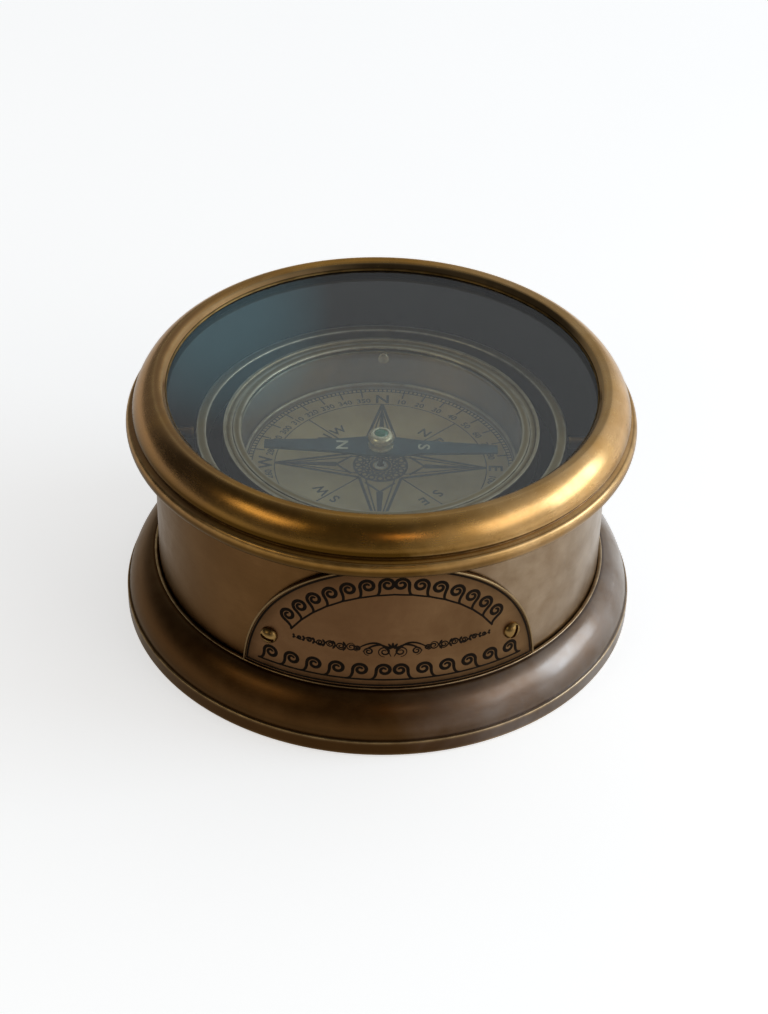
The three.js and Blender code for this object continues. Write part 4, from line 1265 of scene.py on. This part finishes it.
RING_PIVOT_HEAD = 2.0 * MM
RING_PIVOT_SHANK = 1.2 * MM
PIVOT_TIP = 0.7 * MM
PIVOT_TIP_REACH = 1.6 * MM
SHOULDER_GAP = 0.5 * MM
RING_PIVOT_SLOT = math.radians(25)


def ring_pivots():
    """The pivot screws from the drum into the gimbal ring."""
    for name, side in (("ring_pivot_left", -1), ("ring_pivot_right", 1)):
        start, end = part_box(name)
        outer = max(abs(start[0]), abs(end[0]))
        inner = min(abs(start[0]), abs(end[0]))
        seat = plaque_back
        head = outer - seat
        tip = inner - seat
        shank = tip + PIVOT_TIP_REACH + SHOULDER_GAP
        corners = [
            (0, tip, 0),
            (PIVOT_TIP, tip, EASED),
            (PIVOT_TIP, shank, 0),
            (RING_PIVOT_SHANK, shank, EASED),
            (RING_PIVOT_SHANK, 0, 0),
            (RING_PIVOT_HEAD, 0, EASED),
            (RING_PIVOT_HEAD, head, SOFT),
            (0, head, 0),
        ]
        matrix = outwards(side * math.pi / 2, seat, (start[2] + end[2]) / 2, RING_PIVOT_SLOT)
        screw = slotted(f"{name}_screw", corners, RING_PIVOT_HEAD, head, matrix, SCREW_BRASS)
        belongs(screw, "case", "gold_brass", name)


BOWL_PIVOT_HEAD = 1.1 * MM
BOWL_PIVOT_HEAD_HEIGHT = 0.6 * MM


def bowl_pivots():
    """The pivot screws from the inside of the bowl out into the gimbal ring."""
    for name, azimuth in (("bowl_pivot_front", 0), ("bowl_pivot_rear", math.pi)):
        start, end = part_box(name)
        inner = min(abs(start[1]), abs(end[1]))
        outer = max(abs(start[1]), abs(end[1]))
        seat = inner + BOWL_PIVOT_HEAD_HEIGHT
        tip = seat - outer
        corners = [
            (0, tip, 0),
            (PIVOT_TIP, tip, EASED),
            (PIVOT_TIP, 0, 0),
            (BOWL_PIVOT_HEAD, 0, CRISP),
            (BOWL_PIVOT_HEAD, BOWL_PIVOT_HEAD_HEIGHT, EASED),
            (0, BOWL_PIVOT_HEAD_HEIGHT, 0),
        ]
        inwards = Matrix.Rotation(math.pi, 4, "X")
        matrix = outwards(azimuth, seat, (start[2] + end[2]) / 2) @ inwards
        top = BOWL_PIVOT_HEAD_HEIGHT
        screw = slotted(f"{name}_screw", corners, BOWL_PIVOT_HEAD, top, matrix, BRIGHT_BRASS)
        belongs(screw, "bowl", "pale_brass", name)


# Gimbal ring and bowl

RING_WIDTH = 2.0 * MM
RING_ROUNDING = 0.2 * MM
BOWL_RIM_LAND = 1.85 * MM
BOWL_GLASS_LEDGE = 1.75 * MM
BOWL_RETAINER_WIDTH = 1.6 * MM
RETAINER_ROUNDING = 0.4 * MM
BOWL_WALL = 1.6 * MM
BOWL_CORNER = 6.0 * MM
FLANGE_HEIGHT = 5.3 * MM
FLANGE_TAPER = 1.0 * MM
FLANGE_STEP_INSET = 0.65 * MM
FLANGE_STEP = 0.25 * MM
DIAL_LEDGE = 2.0 * MM
WELL_DEPTH = 5.1 * MM
DIAL_RING_WIDTH = 0.6 * MM


def bowl_rings():
    """The gimbal ring, the ring over the bowl's glass and the ring round the dial."""
    rings = (
        ("gimbal_turned", "gimbal_ring", "gimbal", RING_WIDTH, RING_ROUNDING),
        ("bowl_ring_turned", "bowl_glass_ring", "bowl", BOWL_RETAINER_WIDTH, RETAINER_ROUNDING),
        ("dial_ring_turned", "dial_ring", "bowl", DIAL_RING_WIDTH, SOFT),
    )
    for name, node, body, width, rounding in rings:
        belongs(square_ring(name, node, width, rounding, PALE_BRASS), body, "pale_brass", node)


def bowl():
    """The stepped bowl: a flanged cup with a rabbet for its glass and a ledge for the dial."""
    flange = reach("compass_bowl")
    rim = high("compass_bowl")
    bottom = low("compass_bowl")
    glass_seat = low("bowl_glass")
    rabbet = flange - BOWL_RIM_LAND
    inner = rabbet - BOWL_GLASS_LEDGE
    body = inner + BOWL_WALL
    well = inner - DIAL_LEDGE
    dial_bottom = low("dial_card")
    flange_bottom = rim - FLANGE_HEIGHT
    step = flange - FLANGE_STEP_INSET
    corners = [
        (0, bottom, 0),
        (body, bottom, BOWL_CORNER),
        (body, flange_bottom - FLANGE_TAPER, SOFT),
        (flange, flange_bottom, EASED),
        (flange, rim, EASED),
        (step, rim, EASED),
        (step - FLANGE_STEP, rim - FLANGE_STEP, CRISP),
        (rabbet, rim - FLANGE_STEP, CRISP),
        (rabbet, glass_seat, CRISP),
        (inner, glass_seat, EASED),
        (inner, dial_bottom, CRISP),
        (well, dial_bottom, EASED),
        (well, dial_bottom - WELL_DEPTH, SOFT),
        (0, dial_bottom - WELL_DEPTH, 0),
    ]
    return belongs(turned("bowl_turned", corners, PALE_BRASS), "bowl", "pale_brass", "compass_bowl")


# Dial

INK_BELOW = 0.02 * MM
INK_ABOVE = 0.03 * MM
TRACK_OUTER = 26.6 * MM
TRACK_INNER = 25.7 * MM
TRACK_CELLS = 180
FINE_LINE = 0.1 * MM
TICK_LINE = 0.15 * MM
LONG_TICKS = 36
LONG_TICK_END = 23.7 * MM
NUMBER_RADIUS = 22.5 * MM
NUMBER_HEIGHT = 1.45 * MM
INNER_CIRCLE = 21.15 * MM
CARDINAL_RADIUS = 23.1 * MM
CARDINAL_HEIGHT = 2.9 * MM
STAR_INNER = 5.9 * MM
STAR_SPLIT = 8.8 * MM
STAR_SPLIT_ROOT = 6.5 * MM
STAR_SPLIT_SPREAD = math.radians(27)
STAR_LINE = 0.28 * MM
STAR_INSIDE_LINE = 0.14 * MM
STAR_SPLIT_LINE = 0.22 * MM
STAR_HEART = 0.7 * MM
STAR_INSET = 0.3
STAR_INSET_ROOT_SHARE = 0.75
STAR_INSIDE_TIP_SHARE = 0.9
ROSETTE_RINGS = ((5.3 * MM, 0.22 * MM), (3.6 * MM, 0.16 * MM), (1.85 * MM, 0.3 * MM))
ROSETTE_PETALS = ((4.45 * MM, 0.62 * MM), (2.85 * MM, 0.42 * MM))
ROSETTE_PETAL_COUNT = 16
ROSETTE_LINE = 0.19 * MM
PETAL_STEPS = 20
PAIR_RADIUS = 14.5 * MM
PAIR_HEIGHT = 2.3 * MM
PAIR_SPREAD = math.radians(7.5)
CARDINALS = ("N", "E", "S", "W")
PAIRS = (("N", "E"), ("S", "E"), ("S", "W"), ("N", "W"))

dial_top = high("dial_card")


def dial():
    """The dial's disc."""
    radius = reach("dial_card")
    bottom = low("dial_card")
    corners = [(0, bottom, 0), (radius, bottom, CRISP), (radius, dial_top, CRISP), (0, dial_top, 0)]
    return belongs(turned("dial_disc", corners, DIAL), "bowl", "dial", "dial_card")


def as_it_is(x, y, height):
    """The place on the dial or the needle, which lie flat."""
    return Vector((x, y, height))


def bearing(radius, angle):
    """A point on the dial at an angle clockwise from the back, which is north."""
    return Vector((radius * math.sin(angle), radius * math.cos(angle)))


def ink_stroke(mesh, path, half_widths):
    """A printed stroke along a path."""
    ribbon(mesh, path, half_widths, dial_top - INK_BELOW, dial_top + INK_ABOVE, as_it_is)


def ink_line(mesh, start, end, half_start, half_end=None):
    """A straight printed line, which may run from one width to another."""
    ink_stroke(mesh, [start, end], [half_start, half_start if half_end is None else half_end])


def ink_ring(mesh, radius, half_width):
    """A printed circle."""
    corners = [(radius - half_width, -INK_BELOW), (radius + half_width, -INK_BELOW),
               (radius + half_width, INK_ABOVE), (radius - half_width, INK_ABOVE)]
    loops = []
    for edge, rise in corners:
        circle = circle_points(edge, TURN_SEGMENTS)
        loops.append([mesh.verts.new((*spot, dial_top + rise)) for spot in circle])
    for loop, following in zip(loops, loops[1:] + loops[:1]):
        bridge(mesh, loop, following)


def dial_scale():
    """The degree track, the long ticks and the circles."""
    mesh = bmesh.new()
    for radius in (TRACK_OUTER, TRACK_INNER, INNER_CIRCLE):
        ink_ring(mesh, radius, FINE_LINE)
    for cell in range(TRACK_CELLS):
        angle = 2 * math.pi * cell / TRACK_CELLS
        ink_line(mesh, bearing(TRACK_INNER, angle), bearing(TRACK_OUTER, angle), TICK_LINE)
    for tick in range(LONG_TICKS):
        if tick % (LONG_TICKS // 4):
            angle = 2 * math.pi * tick / LONG_TICKS
            ink_line(mesh, bearing(LONG_TICK_END, angle), bearing(TRACK_INNER, angle), TICK_LINE)
    return belongs(finished("dial_scale", mesh, INK), "bowl", "dial")


def dial_letters():
    """Degree numbers and compass letters, all with their tops outwards."""
    mesh = bmesh.new()
    thickness = INK_BELOW + INK_ABOVE
    level = dial_top + (INK_ABOVE - INK_BELOW) / 2

    def put(text, size, radius, angle):
        """Prints a text at a bearing."""
        spot = bearing(radius, angle)
        matrix = Matrix.Translation((*spot, level)) @ Matrix.Rotation(-angle, 4, "Z")
        lettering(mesh, text, size, thickness, matrix)

    for tick in range(LONG_TICKS):
        if tick % (LONG_TICKS // 4):
            put(str(360 * tick // LONG_TICKS), NUMBER_HEIGHT, NUMBER_RADIUS, 2 * math.pi * tick / LONG_TICKS)
    for quarter, letter in enumerate(CARDINALS):
        put(letter, CARDINAL_HEIGHT, CARDINAL_RADIUS, quarter * math.pi / 2)
    for quarter, (first, second) in enumerate(PAIRS):
        middle = (quarter + 0.5) * math.pi / 2
        put(first, PAIR_HEIGHT, PAIR_RADIUS, middle - PAIR_SPREAD)
        put(second, PAIR_HEIGHT, PAIR_RADIUS, middle + PAIR_SPREAD)
    return belongs(finished("dial_letters", mesh, INK), "bowl", "dial")


def star_point(mesh, angle, tip_radius):
    """One long point of the star: two outlines, two finer lines inside them and a dark heart."""
    tip = bearing(tip_radius, angle)
    split = bearing(STAR_SPLIT, angle)
    for side in (-1, 1):
        corner = bearing(STAR_INNER, angle + side * math.pi / 4)
        ink_line(mesh, corner, tip, STAR_LINE)
        inset = corner.lerp(bearing(STAR_INSET_ROOT_SHARE * STAR_INNER, angle), STAR_INSET)
        ink_line(mesh, inset, bearing(STAR_INSIDE_TIP_SHARE * tip_radius, angle), STAR_INSIDE_LINE)
        ink_line(mesh, bearing(STAR_SPLIT_ROOT, angle + side * STAR_SPLIT_SPREAD), split, STAR_SPLIT_LINE)
    ink_line(mesh, split, tip, STAR_HEART, FINE_LINE)


def dial_star():
    """A four-pointed star with thin diagonals and a dense rosette in the middle."""
    mesh = bmesh.new()
    for quarter in range(4):
        angle = quarter * math.pi / 2
        star_point(mesh, angle, INNER_CIRCLE)
        diagonal = angle + math.pi / 4
        ink_line(mesh, bearing(STAR_INNER, diagonal), bearing(INNER_CIRCLE, diagonal), STAR_INSIDE_LINE)
    for radius, half_width in ROSETTE_RINGS:
        ink_ring(mesh, radius, half_width)
    for radius, size in ROSETTE_PETALS:
        for petal in range(ROSETTE_PETAL_COUNT):
            middle = bearing(radius, 2 * math.pi * petal / ROSETTE_PETAL_COUNT)
            loop = circle_points(size, PETAL_STEPS, middle)
            ink_stroke(mesh, loop + loop[:1], [ROSETTE_LINE] * (PETAL_STEPS + 1))
    return belongs(finished("dial_star", mesh, INK), "bowl", "dial")


POST_HUB = 1.27 * MM
POST_HUB_HEIGHT = 0.22 * MM
POST_HUB_RIM = 0.5 * MM
POST_HUB_DISH = 0.08 * MM
POST_PIN = 0.45 * MM
POST_POINT = 1.2 * MM
POST_RIVET = 0.9 * MM


def post():
    """The pivot post: a rivet through the dial, a dished bright hub and a dark pointed pin."""
    bottom = low("pivot_post")
    top = high("pivot_post")
    corners = [
        (0, bottom, 0),
        (POST_RIVET, bottom, 0),
        (POST_RIVET, dial_top, 0),
        (POST_HUB, dial_top, 0),
        (POST_HUB, dial_top + POST_HUB_HEIGHT, EASED),
        (POST_HUB - POST_HUB_RIM, dial_top + POST_HUB_HEIGHT, EASED),
        (POST_HUB - POST_HUB_RIM, dial_top + POST_HUB_DISH, CRISP),
        (POST_PIN, dial_top + POST_HUB_DISH, 0),
        (POST_PIN, top - POST_POINT, 0),
        (0, top, 0),
    ]
    piece = turned("post_turned", corners, HUB_PLATE, BLACKENED_STEEL, segments=SMALL_SEGMENTS)
    for face in piece.data.polygons:
        face.material_index = int(face.center.xy.length < POST_HUB - POST_HUB_RIM - CRISP)
    return belongs(piece, "bowl", "steel", "pivot_post")


# Needle

NEEDLE_TIP = 1.3 * MM
NEEDLE_ARM = 2.2 * MM
NEEDLE_ARM_START = 8.0 * MM
NEEDLE_HUB = 3.2 * MM
NEEDLE_HUB_START = 3.0 * MM
NEEDLE_BEVEL = 0.14 * MM
NEEDLE_BEVEL_STEPS = 3
NEEDLE_LETTER_HEIGHT = 2.4 * MM
NEEDLE_LETTER_STRETCH = 1.25
NEEDLE_LETTERS = (("N", -7.8 * MM, math.pi / 2), ("S", 8.6 * MM, -math.pi / 2))
CAP_ROUNDING = 1.0 * MM
CAP_FLANGE_HEIGHT = 0.45 * MM
CAP_FLANGE_INSET = 0.15 * MM
CAP_WAIST_HEIGHT = 0.35 * MM
CAP_WAIST_INSET = 0.25 * MM
CAP_INSIDE = 1.0 * MM
JEWEL_DOME = 0.7 * MM


def needle():
    """A blued bar, widest at its middle, with bevelled edges."""
    tip = reach("needle")
    half = [(tip, NEEDLE_TIP), (NEEDLE_ARM_START, NEEDLE_ARM), (NEEDLE_HUB_START, NEEDLE_HUB)]
    upper = half + [(-x, y) for x, y in reversed(half)]
    outline = upper + [(x, -y) for x, y in reversed(upper)]
    mesh = bmesh.new()
    prism(mesh, outline, low("needle"), high("needle"), as_it_is)
    bmesh.ops.bevel(mesh, geom=mesh.edges[:], offset=NEEDLE_BEVEL, segments=NEEDLE_BEVEL_STEPS,
                    profile=0.5, affect="EDGES")
    return belongs(finished("needle_bar", mesh, BLUED_STEEL), "needle", "blued_steel", "needle")


def needle_letters():
    """The painted letters on the needle, with their tops outwards."""
    mesh = bmesh.new()
    level = high("needle")
    for letter, x, turn in NEEDLE_LETTERS:
        matrix = Matrix.Translation((x, 0, level)) @ Matrix.Rotation(turn, 4, "Z")
        wide = Matrix.Diagonal((NEEDLE_LETTER_STRETCH, 1, 1, 1))
        lettering(mesh, letter, NEEDLE_LETTER_HEIGHT, 2 * INK_ABOVE, matrix @ wide)
    return belongs(finished("needle_letters", mesh, LETTER_PAINT), "needle", "blued_steel")


def cap():
    """The bright cap: a flange, a waist and a rounded button, bored for its jewel and for the post."""
    bottom = low("needle_cap")
    top = high("needle_cap")
    radius = reach("needle_cap")
    flange = radius - CAP_FLANGE_INSET
    waist = radius - CAP_WAIST_INSET
    flange_top = bottom + CAP_FLANGE_HEIGHT
    button_bottom = flange_top + CAP_WAIST_HEIGHT
    middle = (button_bottom + top) / 2
    button = ovolo(radius - CAP_ROUNDING, middle, CAP_ROUNDING, top - middle)
    seat = reach("cap_jewel")
    jewel_bottom = low("cap_jewel")
    corners = [
        (CAP_INSIDE, bottom, CRISP),
        (flange, bottom, EASED),
        (flange, flange_top, EASED),
        (waist, flange_top, CRISP),
        *mirrored(button, middle, waist),
        *button,
        (seat, top, EASED),
        (seat, jewel_bottom, CRISP),
        (CAP_INSIDE, jewel_bottom, CRISP),
    ]
    piece = turned("cap_turned", corners, BRIGHT_BRASS, segments=SMALL_SEGMENTS)
    return belongs(piece, "needle", "gold_brass", "needle_cap")


def jewel():
    """The domed jewel in the cap."""
    bottom = low("cap_jewel")
    top = high("cap_jewel")
    radius = reach("cap_jewel")
    corners = [(0, bottom, 0), (radius, bottom, EASED), *ovolo(0, top - JEWEL_DOME, radius, JEWEL_DOME)]
    piece = turned("jewel_dome", corners, JEWEL, segments=SMALL_SEGMENTS)
    return belongs(piece, "needle", "jewel", "cap_jewel")


# Nodes that keep their own shape

KEPT_NODES = {
    "top_glass": GLASS,
    "bowl_glass": GLASS,
    "glass_retaining_ring": BLACKENED_STEEL,
    "base_plate": AGED_BRASS,
    "base_screw_1": BRIGHT_STEEL,
    "base_screw_2": BRIGHT_STEEL,
    "base_screw_3": BRIGHT_STEEL,
    "bowl_weight": LEAD,
    "weight_screw": BRIGHT_STEEL,
}


def finish_kept_nodes():
    """Finishes for the nodes that show as they are."""
    for name, material in KEPT_NODES.items():
        data = nodes[name].data
        data.materials.clear()
        data.materials.append(material)


# Floor, lights and camera

FLOOR_SIZE = 60.0
FLOOR_CLOUD = {"scale": 3.0, "detail": 3.0}
FLOOR_DARK = (0.80, 0.80, 0.80)
FLOOR_LIGHT = (0.83, 0.83, 0.83)
FLOOR_GLOW = 0.62


def floor_finish(name):
    """A pale floor that keeps its shadow, with a little glow so that it shows nearly white."""
    material, tree, shader = material_nodes(name)
    cloud = grain(tree, place_of(tree), **FLOOR_CLOUD)
    plug(tree, shader, {
        "Base Color": colour_mix(tree, mapped(tree, cloud, *NOISE_SPAN), FLOOR_DARK, FLOOR_LIGHT),
        "Roughness": 0.9,
        "Specular IOR Level": 0.1,
    })
    path = add(tree, "ShaderNodeLightPath", {}, {}).outputs
    seen = calc(tree, "MAXIMUM", path["Is Camera Ray"], path["Is Glossy Ray"])
    seen = calc(tree, "MAXIMUM", seen, path["Is Transmission Ray"])
    strength = calc(tree, "MULTIPLY", seen, FLOOR_GLOW)
    glow = add(tree, "ShaderNodeEmission", {}, {"Strength": strength}).outputs[0]
    both = add(tree, "ShaderNodeAddShader", {}, {0: shader.outputs[0], 1: glow}).outputs[0]
    plug(tree, tree.nodes["Material Output"], {"Surface": both})
    return material


def floor():
    """The floor that the compass stands on."""
    mesh = bmesh.new()
    bmesh.ops.create_grid(mesh, x_segments=4, y_segments=4, size=FLOOR_SIZE / 2)
    finished("floor", mesh, floor_finish("pale_floor"))


# Lamps, as (name, (azimuth, elevation) in degrees, distance, size, colour, watts)
LIGHT_TARGET = Vector((0, 0, 30 * MM))
LAMPS = (
    ("window_right", (92, 16), 1.0, (0.54, 0.46), (0.74, 0.88, 1.0), 3.6),
    ("lamp_front_right", (58, 24), 0.9, (0.44, 0.36), (1.0, 0.96, 0.90), 0.74),
    ("lamp_front_left", (-53, 33), 0.9, (0.40, 0.18), (1.0, 0.86, 0.58), 0.5),
    ("lamp_front_small", (12, 33), 0.9, (0.16, 0.07), (1.0, 0.66, 0.34), 0.11),
)
FLOOR_LAMP_SPOT = Vector((0.27, -0.02, 0))
FLOOR_LAMP_HEIGHT = 0.30
FLOOR_LAMP_SIZE = (0.16, 0.30)
FLOOR_LAMP_COLOUR = (1.0, 1.0, 1.0)
FLOOR_LAMP_WATTS = 0.2
FLOOR_LAMP_SPREAD = math.radians(58)


def way_to(azimuth, elevation):
    """The direction at an azimuth from the front towards the right and an elevation, both in degrees."""
    turn = math.radians(azimuth)
    rise = math.radians(elevation)
    return round_drum(math.cos(rise), turn, math.sin(rise))


def softbox(name, location, target, size, colour, watts, spread=math.pi):
    """A rectangular area lamp at a place, pointed at another."""
    lamp = bpy.data.lights.new(name, "AREA")
    lamp.shape = "RECTANGLE"
    lamp.size, lamp.size_y = size
    lamp.color = colour
    lamp.energy = watts
    lamp.spread = spread
    holder = bpy.data.objects.new(name, lamp)
    holder.location = location
    holder.rotation_euler = (location - target).to_track_quat("Z", "Y").to_euler()
    bpy.context.scene.collection.objects.link(holder)


def lights():
    """A window at the right, two broad lamps and a small warm one in front, and a lamp over the floor."""
    for name, way, distance, size, colour, watts in LAMPS:
        softbox(name, LIGHT_TARGET + way_to(*way) * distance, LIGHT_TARGET, size, colour, watts)
    over_floor = FLOOR_LAMP_SPOT + Vector((0, 0, FLOOR_LAMP_HEIGHT))
    softbox("lamp_over_floor", over_floor, FLOOR_LAMP_SPOT, FLOOR_LAMP_SIZE, FLOOR_LAMP_COLOUR,
            FLOOR_LAMP_WATTS, FLOOR_LAMP_SPREAD)


# The room's glows, each a product of ramps along axes, as (axis, start, end, level at start, level at end)
ROOM_GLOWS = {
    "right": (("x", 0.15, 0.85, 0.0, 0.85), ("z", 0.6, 1.0, 1.0, 0.1)),
    "behind": (("y", 0.35, 0.6, 0.0, 0.235), ("z", 0.72, 0.9, 1.0, 0.15)),
    "above": (("x", -0.5, 0.1, 0.0, 1.0), ("y", -0.4, 0.1, 0.0, 1.0), ("z", 0.3, 0.8, 0.0, 0.2)),
    "low in front": (("y", -0.1, -0.6, 0.0, 1.0), ("z", 0.0, 0.45, 0.14, 0.0)),
}
ROOM_DIM_SIDE = (-0.6, -0.1, 0.045, 0.08)
ROOM_TINT = (0.94, 0.97, 1.0)
BLUE_WAY = (-175, 32.7)
BLUE_INNER_DEG = 0.8
BLUE_OUTER_DEG = 2.8
BLUE_STRENGTH = 0.4
BLUE_TINT = (0.2, 0.75, 0.95)


def room():
    """The room's own light: dim in front and at the left, with its glows and a blue patch behind."""
    world = bpy.data.worlds.new("room")
    bpy.context.scene.world = world
    world.use_nodes = True
    tree = world.node_tree
    way = add(tree, "ShaderNodeTexCoord", {}, {}).outputs["Generated"]
    axes = dict(zip("xyz", add(tree, "ShaderNodeSeparateXYZ", {}, {0: way}).outputs))
    level = mapped(tree, calc(tree, "MINIMUM", axes["x"], axes["y"]), *ROOM_DIM_SIDE)
    for ramps in ROOM_GLOWS.values():
        glow = 1.0
        for axis, *span in ramps:
            glow = calc(tree, "MULTIPLY", glow, mapped(tree, axes[axis], *span))
        level = calc(tree, "ADD", level, glow)
    shade = tree.nodes["Background"]
    plug(tree, shade, {"Color": ROOM_TINT, "Strength": level})
    facing = add(tree, "ShaderNodeVectorMath", {"operation": "DOT_PRODUCT"}, {0: way, 1: way_to(*BLUE_WAY)})
    edge = math.cos(math.radians(BLUE_OUTER_DEG))
    full = math.cos(math.radians(BLUE_INNER_DEG))
    patch = mapped(tree, facing.outputs["Value"], edge, full, 0.0, BLUE_STRENGTH)
    blue = add(tree, "ShaderNodeBackground", {}, {"Color": BLUE_TINT, "Strength": patch}).outputs[0]
    both = add(tree, "ShaderNodeAddShader", {}, {0: shade.outputs[0], 1: blue}).outputs[0]
    plug(tree, tree.nodes["World Output"], {"Surface": both})


def camera():
    """The camera of the photograph."""
    data = bpy.data.cameras.new("camera")
    data.lens = CAMERA_LENS_MM
    data.clip_start = CAMERA_NEAR
    holder = bpy.data.objects.new("camera", data)
    back = Vector((0, -math.cos(CAMERA_ELEVATION), math.sin(CAMERA_ELEVATION)))
    level = Vector((1, 0, 0))
    rise = back.cross(level)
    right = level * math.cos(CAMERA_ROLL) + rise * math.sin(CAMERA_ROLL)
    up = rise * math.cos(CAMERA_ROLL) - level * math.sin(CAMERA_ROLL)
    turn = Matrix((right, up, back)).transposed().to_4x4()
    holder.matrix_world = Matrix.Translation(CAMERA_AIM + back * CAMERA_DISTANCE) @ turn
    bpy.context.scene.collection.objects.link(holder)
    bpy.context.scene.camera = holder


foot()
drum()
drum_thread()
felt()
bezel()
plaque()
plaque_border()
border_line()
plaque_bands()
scroll()
plaque_screws()
ring_pivots()
bowl_rings()
bowl()
bowl_pivots()
dial()
dial_scale()
dial_letters()
dial_star()
post()
needle()
needle_letters()
cap()
jewel()
finish_kept_nodes()
floor()
lights()
room()
camera()
bpy.context.scene.view_settings.view_transform = "Standard"
